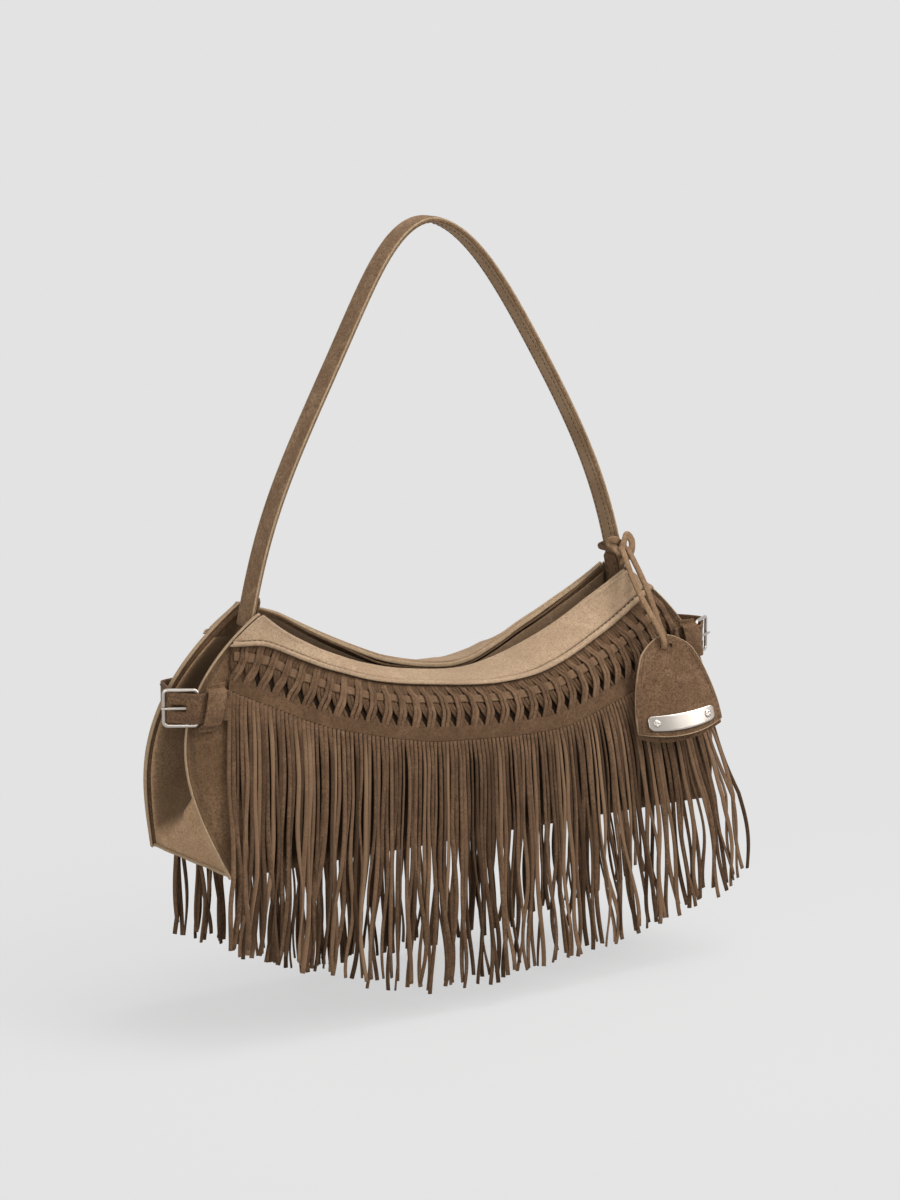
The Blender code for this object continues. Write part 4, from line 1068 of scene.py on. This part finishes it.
heel = beltWall(belt["heelBar"]) + 3 * belt["fit"] + belt["chapeThick"] + belt["wire"] / 2


def onFrame(share, out):
    # A place in plan at a share of the buckle's length from the heel bar, and so far outwards from its
    # middle
    c, q = math.cos(belt["frameTurn"]), math.sin(belt["frameTurn"])
    far = share * belt["frameLength"]
    return belt["heelBar"] + far * c + out * q, heel - far * q + out * c


def beltPlan(end):
    # Seen from above: along the front, over the heel bar, under the outer bar and round the end
    curl = belt["curl"] * (end > 0)
    bar, fit, thick, wallEnd = belt["heelBar"], belt["fit"], belt["thick"], belt["wallEnd"]
    over = belt["wire"] / 2 + 2 * fit + belt["chapeThick"] + thick / 2
    under = belt["wire"] / 2 + fit + thick / 2
    lie = 2 * fit + thick / 2
    between = (belt["end"] + bar) / 2
    farEnd = (belt["end"] + wallEnd) / 2
    corners = [
        (belt["end"], beltWall(belt["end"]) + lie),
        (between, beltWall(between) + lie + 0.0006),
        (bar - 0.004, heel + over),
        (bar + 0.002, heel + over - 0.0008),
        onFrame(0.5, 0.0003),
        onFrame(0.92, -under - 0.0003),
        (bar + 0.0082 + curl, 0.1 * heel),
        (bar + 0.0036 + 0.8 * curl, -0.45 * heel),
        (bar + 0.0010, -beltWall(wallEnd) + 0.0015),
        (belt["turnIn"], -beltWall(belt["turnIn"]) - lie),
        (farEnd, -beltWall(farEnd) - lie),
        (belt["end"], -beltWall(belt["end"]) - lie),
    ]
    return curveThrough([(x, -y) for x, y in corners], 140)


def standing(plan, side, z):
    # A band on edge along a plan line: every plan point at every height
    plan = np.asarray(plan)
    z = np.asarray(z)[:, None]
    x = plan[None, :, 0] + 0 * z
    y = plan[None, :, 1] + 0 * z
    return np.stack([side * x, y, belt["height"] + z + 0 * x], -1)


def beltPieces(end):
    # The belt on its plan line, with a hole where the prong passes, and its thread
    name = "left" if end < 0 else "right"
    plan = beltPlan(end)
    z = np.concatenate([np.linspace(-1, -0.21, 7), np.linspace(0.21, 1, 7)]) * belt["width"] / 2
    p = standing(plan, end, z)
    middle = (plan[:-1] + plan[1:]) / 2
    holeX, holeY = onFrame(0.55, 0)
    holes = np.zeros((len(z) - 1, len(plan) - 1), bool)
    holes[6] = np.hypot(middle[:, 0] - holeX, middle[:, 1] + holeY) < 0.0048
    piece = cloth(name + "Belt", p, belt["thick"], tagSuede, holes=holes, flip=end > 0)
    made(piece, "suede", name + "_belt")
    # two dashed lines of thread inside the edges, on the outer face
    along = unit(np.gradient(plan, axis=0))
    normal = np.stack([-along[:, 1], along[:, 0]], -1)
    centre = np.array([0.17, 0.0])
    normal = normal * np.sign(np.sum(normal * (plan - centre), -1, keepdims=True))
    q = plan + normal * (belt["thick"] / 2 + 0.0001)
    up = np.stack([end * normal[:, 0], normal[:, 1], 0 * q[:, 0]], -1)
    for edge, place in ((-1, "Low"), (1, "High")):
        height = belt["height"] + edge * (belt["width"] / 2 - belt["seam"])
        path = np.stack([end * q[:, 0], q[:, 1], np.full(len(q), height)], -1)
        label = name + "BeltStitches" + place
        made(stitches(label, path, up, brownThread, 0.0030, 0.0021, 0.0005), "dark_suede")


def chapePiece(end):
    # The chape, folded in a half circle round the heel bar, with a slot for the prong
    name = "left" if end < 0 else "right"
    around = belt["wire"] / 2 + belt["fit"] + belt["chapeThick"] / 2
    bar = belt["heelBar"]
    turn = np.linspace(-np.pi / 2, np.pi / 2, 19)
    plan = [(bar - 0.0065, -heel + around + 0.0001)]
    plan += [(bar + around * math.cos(a), -heel - around * math.sin(a)) for a in turn]
    plan.append((bar - 0.002, -heel - around))
    z = np.concatenate([np.linspace(-1, -0.25, 5), np.linspace(0.25, 1, 5)]) * belt["chapeWidth"] / 2
    p = standing(plan, end, z)
    holes = np.zeros((len(z) - 1, len(plan) - 1), bool)
    holes[4, 7:] = True
    made(cloth(name + "Chape", p, belt["chapeThick"], bodySuede, holes=holes), "suede", name + "_chape")


def keeperPiece(end):
    # A loop over the belt: its section is carried across its width, swollen by 1 - edge², and it leans
    name = "left" if end < 0 else "right"
    inner = belt["keeperInner"]
    x = inner + belt["keeperWidth"] / 2
    half = belt["width"] / 2 + 2 * belt["fit"] + belt["keeperThick"] / 2
    reach = half + belt["keeperFoot"] + 0.001
    foot = wallAt(inner, belt["height"] - reach, belt["height"] + reach)
    foot = foot + 2 * belt["fit"] + belt["keeperThick"] / 2
    top = beltWall(inner) + 2 * belt["fit"] + belt["thick"] + belt["keeperThick"] / 2 + 0.0036
    upper = [
        (foot, half + belt["keeperFoot"]), (foot, half + 0.0008), (top - 0.0008, half - 0.0003),
        (top, half - 0.0018),
    ]
    outline = curveThrough(upper + [(top + 0.0006, 0.0)] + [(y, -z) for y, z in upper[::-1]], 60)
    edge = np.linspace(-1, 1, 13)[:, None]
    swell = belt["keeperSwell"] * (1 - edge**2)
    y = -(outline[None, :, 0] + swell)
    lean = belt["keeperLean"] * outline[None, :, 1]
    across = end * (x + edge * belt["keeperWidth"] / 2 - lean)
    p = np.stack([across + 0 * y, y, belt["height"] + outline[None, :, 1] + 0 * y], -1)
    piece = cloth(name + "Keeper", p, belt["keeperThick"], tagSuede, flip=end > 0)
    made(piece, "suede", name + "_keeper")


def bucklePieces(end):
    # The frame: a rectangle with quarter circles for corners, turned outwards. The prong goes from the
    # heel bar over the belt to the outer bar and thins over its last quarter.
    name = "left" if end < 0 else "right"
    half = belt["width"] / 2 + 2 * belt["fit"] + belt["wire"] / 2
    roundOff = belt["frameRound"]
    near, far, high = roundOff, belt["frameLength"] - roundOff, half - roundOff
    points = []
    for x, z, start in ((near, -high, 180), (far, -high, 270), (far, high, 0), (near, high, 90)):
        a = np.radians(start + np.linspace(0, 90, 10))
        x, y = onFrame((x + roundOff * np.cos(a)) / belt["frameLength"], 0.0)
        points.append(np.stack([x, -y, belt["height"] + z + roundOff * np.sin(a)], -1))
    ring = np.concatenate(points)
    ring = np.vstack([ring, ring[:1]])
    ring = evenly(ring, 97)[:-1] * np.array([end, 1, 1])
    along = unit(np.roll(ring, -1, 0) - np.roll(ring, 1, 0))
    up = np.broadcast_to([-end * math.sin(belt["frameTurn"]), math.cos(belt["frameTurn"]), 0], ring.shape)
    profile = flatProfile(belt["wire"], belt["wire"] * 0.92, 2.4, 16)
    wire = sweep(name + "BuckleFrame", ring, np.cross(along, up), up, profile, silver, closed=True)
    made(wire, "silver", name + "_buckle_frame")

    rest = belt["wire"] / 2 + belt["fit"] + belt["prong"] / 2
    line = [onFrame(0.07, 0.0), onFrame(0.42, rest * 0.55), onFrame(0.95, rest), onFrame(1.06, rest)]
    plan = curveThrough(line, 40)
    path = np.stack([end * plan[:, 0], -plan[:, 1], np.full(len(plan), belt["height"])], -1)
    side, up = carried(path)
    size = 1 - 0.35 * ease((np.linspace(0, 1, 40) - 0.75) / 0.25)
    profile = roundProfile(belt["prong"] / 2, 14)[None, None] * size[None, :, None, None]
    pin = sweep(name + "BuckleProng", path, side, up, profile, silver)
    made(pin, "silver", name + "_buckle_prong")


for end in (-1, 1):
    beltPieces(end)
    chapePiece(end)
    keeperPiece(end)
    bucklePieces(end)
print("belts made")


# Tag, lace and knot

tag = {
    "width": 0.061, "height": 0.061, "thick": 0.0015, "topWidth": 0.020, "bulge": 0.0075, "backDrop": 0.003,
    "slot": 0.0026, "slotWidth": 0.0100, "slotDrop": 0.0075, "x": 0.1480, "y": -0.0475, "top": 0.115,
    "tilt": math.radians(14), "yaw": math.radians(13), "roll": math.radians(6), "topRound": 0.013,
    "rounding": 0.0060, "seam": 0.0026, "seamEnd": 0.965, "plateLength": 0.048, "plateHeight": 0.0085,
    "plateThick": 0.0010, "plateCorner": 0.0030, "screw": 0.0052, "screwHigh": 0.0010, "screwSlot": 0.00028,
    "lace": 0.0036,
}


def tagPoint(across, down, forward):
    # Across the tag, down its length and out from its middle: rolled about the slot, tilted out at the
    # bottom, then turned a little, each by its sine and cosine
    across, down, forward = np.broadcast_arrays(*(np.asarray(v, float) for v in (across, down, forward)))
    c, q = math.cos(tag["roll"]), math.sin(tag["roll"])
    below = down - tag["slotDrop"]
    across, down = across * c + below * q, below * c - across * q + tag["slotDrop"]
    out = down * math.sin(tag["tilt"]) + forward * math.cos(tag["tilt"])
    z = tag["top"] - down * math.cos(tag["tilt"]) + forward * math.sin(tag["tilt"])
    x = tag["x"] + across * math.cos(tag["yaw"]) - out * math.sin(tag["yaw"])
    y = tag["y"] - across * math.sin(tag["yaw"]) - out * math.cos(tag["yaw"])
    return np.stack([x, y, z], -1)


def leafHalf(share):
    # Half the width: a quarter sine^0.80 from top to bottom, drawn in to a round end at the top
    wide = np.sin(np.clip(share, 0, 1) * np.pi / 2) ** 0.80
    wide = mix(tag["topWidth"] / 2 + 0.002, tag["width"] / 2, wide)
    toTop = np.clip(share * tag["height"] / tag["topRound"], 0.002, 1)
    return wide * np.sqrt(1 - (1 - toTop) ** 2)


def leafBulge(column, share):
    # The leaf's swelling: 1 - |column|^2.4 across, times (share - 0.22)^0.8 down its length
    return tag["bulge"] * (1 - np.abs(column) ** 2.4) * np.clip(share - 0.22, 0, 1) ** 0.8


leafForward = (tag["thick"] + 2 * belt["fit"]) / 2


def leafSurface(columns, drops, length, forward, bulge, rounding):
    # A point of a leaf from its column, -1 to 1, and its place down. The lower edge drops by rounding
    # times 1 - column² times share^4.
    share = drops / length
    half = leafHalf(share)
    x = columns * half
    curve = rounding * (1 - columns**2) * share**4
    return tagPoint(x, drops + curve, forward + bulge * leafBulge(columns, share))


def leafLoop(edge, down, across, low):
    # Columns and shares of a leaf's length: down one side, along the bottom and up the other
    left = np.stack([-edge, down], -1)
    bottom = np.stack([across, np.full(len(across), low)], -1)[1:-1]
    right = np.stack([edge, down], -1)[::-1]
    return np.concatenate([left, bottom, right])


def leafPiece(name, node, forward, bulge, extra, rounding, seed):
    # A leaf between its two sides, as wide as leafHalf says, with a straight slot for the lace near the
    # top. Its lower edge drops by 1 - column² times share^4.
    length = tag["height"] + extra
    inner = tag["slot"] / 2
    above = np.linspace(0, tag["slotDrop"] - inner, 5)
    drops = np.concatenate([above, np.linspace(tag["slotDrop"] + inner, length, 36)])[:, None]
    share = drops / length
    half = leafHalf(share)
    a = np.linspace(-1, 0, 13)[None, :]
    left = mix(-half, -np.minimum(tag["slotWidth"] / 2, half * 0.5), (a + 1))
    x = np.concatenate([left, -left[:, ::-1]], 1)
    column = x / half
    curve = rounding * (1 - column**2) * share**4
    warp = 0.0005 * ripple(x * 140, drops * 120, seed) * ease((share - 0.25) * 3)
    p = tagPoint(x, drops + curve, forward + bulge * leafBulge(column, share) + warp)
    holes = np.zeros((len(drops) - 1, x.shape[1] - 1), bool)
    holes[4, 12] = True
    made(cloth(name, p, tag["thick"], tagSuede, holes=holes), "suede", node, body="tag")
    # thread inside the edge, down one side, along the bottom and up the other
    low = tag["seamEnd"]
    down = np.linspace(0.10, low, 60)
    across = np.linspace(-1, 1, 50) * (1 - tag["seam"] / leafHalf(low))
    loop = leafLoop(1 - tag["seam"] / leafHalf(down), down, across, low)
    path = leafSurface(loop[:, 0], loop[:, 1] * length, length, forward, bulge, rounding)
    out = np.array([0, -math.cos(tag["tilt"]), math.sin(tag["tilt"])])
    path = path + out * (tag["thick"] / 2 + 0.0001)
    thread = stitches(name + "Stitches", path, out, brownThread, 0.0032, 0.0023, 0.0005)
    made(thread, "dark_suede", body="tag")
    if name == "tagBack":
        return
    # the cut edge all round, a thin pale line
    down = np.sin(np.linspace(0.04, 1, 90) * np.pi / 2) ** 2
    loop = leafLoop(np.ones(90), down, np.linspace(-1, 1, 60), 1.0)
    path = leafSurface(loop[:, 0], loop[:, 1] * length, length, forward, bulge, rounding)
    path = evenly(path, 200)
    up = np.broadcast_to(out, path.shape)
    side = unit(np.cross(unit(np.gradient(path, axis=0)), up))
    profile = flatProfile(0.0009, tag["thick"] + 0.0001, 2.6, 10)
    made(sweep(name + "Edge", path, side, up, profile, rawEdge), "light_suede", body="tag")


def platePoint(across, down, lift):
    # A point over the front leaf: its bulge plus the lift outwards, and its edge's curve added to down
    share = down / tag["height"]
    half = leafHalf(share)
    curve = tag["rounding"] * (1 - (across / half) ** 2) * share**4
    return tagPoint(across, down + curve, leafForward + leafBulge(across / half, share) + lift)


def screwPiece(name, x, down, top):
    # A domed head: rings of radius r at height h, sunk where either arm of the cross slot passes
    at = platePoint(x, down, top)
    a = unit(platePoint(x + 1e-4, down, top) - platePoint(x - 1e-4, down, top))
    b = unit(platePoint(x, down + 1e-4, top) - platePoint(x, down - 1e-4, top))
    n = unit(np.cross(b, a))
    r = np.array([0.02, 0.25, 0.5, 0.75, 0.92, 1.0, 1.0])[:, None] * tag["screw"] / 2
    h = np.array([1.0, 0.98, 0.92, 0.82, 0.64, 0.35, -0.1])[:, None] * tag["screwHigh"]
    turn = np.linspace(0, 2 * np.pi, 48, endpoint=False)[None, :]
    px, py = r * np.cos(turn), r * np.sin(turn)
    arm = np.minimum(np.abs(px), np.abs(py)) < tag["screwSlot"]
    h = h - 0.0004 * arm * (np.hypot(px, py) < 0.0016)
    p = at + px[..., None] * a + py[..., None] * b + (h + 0 * px)[..., None] * n
    faces = gridFaces(7, 48, True).reshape(-1, 4).tolist()
    faces += [list(range(48))[::-1], list(range(6 * 48, 7 * 48))]
    made(addMesh("screw" + name[10:].title(), p, faces, silver), "silver", name, body="tag")


def platePieces():
    # The plate follows the front leaf. Its height shrinks over the corners as the root of 1 - 0.75 corner².
    low = tag["height"] * 0.955
    lift = tag["thick"] / 2 + 2 * belt["fit"] + tag["plateThick"] / 2
    across = np.linspace(-1, 1, 61)[None, :] * tag["plateLength"] / 2
    down = np.linspace(low, low - tag["plateHeight"], 11)[:, None]
    fromEnd = np.abs(across) - tag["plateLength"] / 2 + tag["plateCorner"]
    corner = np.clip(fromEnd / tag["plateCorner"], 0, 1)
    middle = low - tag["plateHeight"] / 2
    p = platePoint(across, middle + (down - middle) * np.sqrt(1 - 0.75 * corner**2), lift)
    piece = cloth("tagPlate", p, tag["plateThick"], silver, soften=0.4)
    made(piece, "silver", "tag_plate", body="tag")
    for name, side in (("tag_screw_left", -1), ("tag_screw_right", 1)):
        x = side * (tag["plateLength"] / 2 - tag["screw"])
        screwPiece(name, x, middle, lift + tag["plateThick"] / 2)


knot = {
    "pivot": 0.170, "pivotForward": -0.01376, "height": 0.1690, "forward": 0.0030,
    "scale": (1.12, 1.2, 0.84), "width": 0.0050, "thick": 0.0019,
    "ears": (
        (0.0010, 0.0010, -0.0115), (0.0052, -0.0016, -0.0040), (0.0066, -0.0006, 0.0050),
        (0.0042, 0.0012, 0.0100), (-0.0006, -0.0022, 0.0052), (-0.0036, -0.0024, -0.0020),
        (-0.0062, 0.0006, 0.0020), (-0.0092, 0.0012, 0.0058), (-0.0064, -0.0008, 0.0080),
        (-0.0006, 0.0010, 0.0030), (0.0018, -0.0030, -0.0050), (-0.0008, -0.0026, -0.0095),
    ),
}


def footShare(height):
    # The strap's s at a height of its right foot, read backwards from its middle line
    s = np.linspace(0.7, 1.0, 400)
    return np.interp(-height, -strapMiddle(s)[:, 2], s)


def pivotPoint():
    # Where the lace leaves the knot: the strap's x at that height, in front of the strap
    foot = strapMiddle(footShare(knot["pivot"]))
    return np.array([float(foot[0]), knot["pivotForward"], knot["pivot"]])


def lacePiece():
    # One length of lace: down in front of the leaves, through both slots and back up behind them
    top = pivotPoint()
    gap = tag["thick"] + 3 * belt["fit"] + tag["lace"] / 2
    apart = np.array([tag["lace"] * 0.62, 0, 0])
    beside = tag["slotWidth"] * 0.25
    front = tagPoint(-beside, 0.0, gap + 0.0006)
    back = tagPoint(beside, 0.0, -gap - 0.0006)
    slot = [tagPoint(a * beside, tag["slotDrop"], f) for a, f in ((-1, gap), (0, 0.0), (1, -gap))]
    before = mix(top - apart, front, 0.45) + [-0.0034, -0.0012, 0]
    behind = mix(top + apart, back, 0.45) + [0.0016, -0.0008, 0]
    path = curveThrough([top - apart, before, front, *slot, back, behind, top + apart], 160)
    along = unit(np.gradient(path, axis=0))
    level = np.array([math.cos(tag["yaw"]), -math.sin(tag["yaw"]), 0])
    side = unit(level - along * np.sum(level * along, -1, keepdims=True))
    up = np.cross(along, side)
    profile = flatProfile(tag["lace"] * 1.1, tag["lace"] * 0.60, 2.8, 14)
    piece = sweep("tagLace", path, side, up, profile, laceSuede)
    made(piece, "suede", "tag_lace", body="tag")


def knotPiece():
    # The lace's loop round the strap's foot is a superellipse of power 4. The knot in front of the strap,
    # two crossing ears and a short tail end, is drawn as one closed line.
    at = footShare(knot["height"])
    middle = strapMiddle(at)
    along = unit(strapMiddle(at - 0.01) - strapMiddle(at + 0.01))
    across = np.array([along[2], 0, -along[0]])
    deep = strap["width"] / 2 + belt["fit"] + tag["lace"] / 2
    thick = strap["thick"] / 2 + 3 * belt["fit"] + tag["lace"] / 2
    turn = np.linspace(0, 2 * np.pi, 97)[:-1]
    c, q = np.cos(turn), np.sin(turn)
    ring = middle + across * (thick * np.sign(c) * np.abs(c) ** 0.5)[:, None]
    ring = ring + np.array([0, 1.0, 0]) * (deep * np.sign(q) * np.abs(q) ** 0.5)[:, None]
    side = unit(np.cross(unit(np.roll(ring, -1, 0) - np.roll(ring, 1, 0)), along))
    up = np.broadcast_to(along, ring.shape)
    profile = flatProfile(tag["lace"] * 0.8, tag["lace"], 2.6, 14)
    made(sweep("laceLoop", ring, side, up, profile, tagSuede, closed=True), "suede")
    centre = middle - np.array([0, strap["width"] / 2 + knot["forward"], 0])
    ears = np.array(knot["scale"]) * np.array(knot["ears"])
    closed = np.vstack([ears[-2:], ears, ears[:3]])
    line = centre + evenly(curveThrough(closed, 200)[24:-24], 161)[:-1]
    tangent = unit(np.roll(line, -1, 0) - np.roll(line, 1, 0))
    side = unit(np.cross(tangent, np.array([0, 1.0, 0])))
    profile = flatProfile(knot["width"], knot["thick"], 3.0, 14)
    ties = sweep("laceKnot", line, side, np.cross(side, tangent), profile, laceSuede)
    made(ties, "suede", "lace_knot")


leafPiece("tagFront", "tag_front", leafForward, 1.0, 0.0, tag["rounding"], 91)
leafPiece("tagBack", "tag_back", -leafForward, -0.15, tag["backDrop"], tag["rounding"] + 0.001, 92)
platePieces()
lacePiece()
knotPiece()
for node in ("snap_socket", "snap_stud"):
    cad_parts[node].data.materials.clear()
    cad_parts[node].data.materials.append(silver)
print("tag made")


# Studio

studio = {
    "floor": 0.64, "backdrop": 0.768, "world": 0.34, "below": 0.0015, "reach": 6.0,
    "aim": (0.0, 0.0, -0.25),
    "lights": (
        ("keyLight", (1.1, -1.9, 1.2), 1.3, 34.0), ("fillLight", (-2.0, -1.3, 0.5), 1.6, 20.0),
        ("topLight", (0.5, -0.4, 1.8), 1.5, 36.0), ("rimLight", (-0.5, 2.0, 1.0), 1.2, 6.0),
    ),
}


def stageMaterial():
    # Near the bag the floor is lit and takes its shadow; further off the camera sees one even pale tone
    m = bpy.data.materials.new("paleStage")
    m.use_nodes = True
    tree = m.node_tree
    tree.nodes.clear()
    out = tree.nodes.new("ShaderNodeOutputMaterial")
    lit = tree.nodes.new("ShaderNodeBsdfDiffuse")
    lit.inputs["Color"].default_value = (studio["floor"],) * 3 + (1.0,)
    even = tree.nodes.new("ShaderNodeEmission")
    even.inputs["Color"].default_value = (studio["backdrop"],) * 3 + (1.0,)
    length = tree.nodes.new("ShaderNodeVectorMath")
    length.operation = "LENGTH"
    tree.links.new(objectVector(tree), length.inputs[0])
    far = spread(tree, length.outputs["Value"], 0.16, 0.60, (0.74, 1.0))
    path = tree.nodes.new("ShaderNodeLightPath")
    seen = maths(tree, "MAXIMUM", path.outputs["Is Camera Ray"], path.outputs["Is Glossy Ray"])
    blend = tree.nodes.new("ShaderNodeMixShader")
    tree.links.new(maths(tree, "MULTIPLY", far, seen), blend.inputs[0])
    tree.links.new(lit.outputs[0], blend.inputs[1])
    tree.links.new(even.outputs[0], blend.inputs[2])
    tree.links.new(blend.outputs[0], out.inputs[0])
    return m


def makeStage():
    # One large square just under the lowest point of the bag
    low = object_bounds()[0][2] - studio["below"]
    mesh = bpy.data.meshes.new("studioFloor")
    size = studio["reach"]
    corners = [(-size, -size, 0), (size, -size, 0), (size, size, 0), (-size, size, 0)]
    mesh.from_pydata(corners, [], [(0, 1, 2, 3)])
    mesh.materials.append(stageMaterial())
    floor = bpy.data.objects.new("studioFloor", mesh)
    floor.location = (hang["across"], 0, low)
    bpy.context.scene.collection.objects.link(floor)


def areaLight(name, place, size, power):
    # A round lamp at its place, turned so that its -Z looks at the bag
    light = bpy.data.lights.new(name, "AREA")
    light.shape = "DISK"
    light.size = size
    light.energy = power
    obj = bpy.data.objects.new(name, light)
    obj.location = Vector(place)
    obj.rotation_mode = "QUATERNION"
    obj.rotation_quaternion = (Vector(studio["aim"]) - Vector(place)).to_track_quat("-Z", "Y")
    bpy.context.scene.collection.objects.link(obj)


def makeLights():
    # Four lamps, and a world that is dim for the bag but as pale as the backdrop where the camera sees it
    for lamp in studio["lights"]:
        areaLight(*lamp)
    world = bpy.data.worlds.new("studioWorld")
    world.use_nodes = True
    tree = world.node_tree
    background = tree.nodes["Background"]
    path = tree.nodes.new("ShaderNodeLightPath")
    seen = maths(tree, "MAXIMUM", path.outputs["Is Camera Ray"], path.outputs["Is Glossy Ray"])
    background.inputs["Color"].default_value = (1.0, 1.0, 1.0, 1.0)
    strength = spread(tree, seen, 0.0, 1.0, (studio["world"], studio["backdrop"]))
    tree.links.new(strength, background.inputs["Strength"])
    bpy.context.scene.world = world


view = {
    "turn": -34.341, "target": (0.0066, 0.0, 0.18), "rise": 0.3934, "away": 2.2533, "down": 10.73,
    "lens": 106.0, "sensor": 36.0, "shift": 0.0028, "clip": 50.0,
}


def makeCamera():
    # The photograph's viewpoint: turned to the bag's left, a little above it and looking slightly down
    turn, down = math.radians(view["turn"]), math.radians(view["down"])
    camera = bpy.data.cameras.new("studioCamera")
    camera.lens = view["lens"]
    camera.sensor_width = view["sensor"]
    camera.shift_x = view["shift"]
    camera.clip_end = view["clip"]
    obj = bpy.data.objects.new("studioCamera", camera)
    away = view["away"]
    eye = np.array(view["target"]) + [math.sin(turn) * away, -math.cos(turn) * away, view["rise"]]
    obj.location = Vector(eye + toRow)
    look = Vector((-math.sin(turn) * math.cos(down), math.cos(turn) * math.cos(down), -math.sin(down)))
    obj.rotation_mode = "QUATERNION"
    obj.rotation_quaternion = look.to_track_quat("-Z", "Y")
    bpy.context.scene.collection.objects.link(obj)
    bpy.context.scene.camera = obj


makeStage()
makeLights()
makeCamera()
bpy.context.scene.view_settings.view_transform = "Standard"
bpy.context.view_layer.update()
print("scene ready")
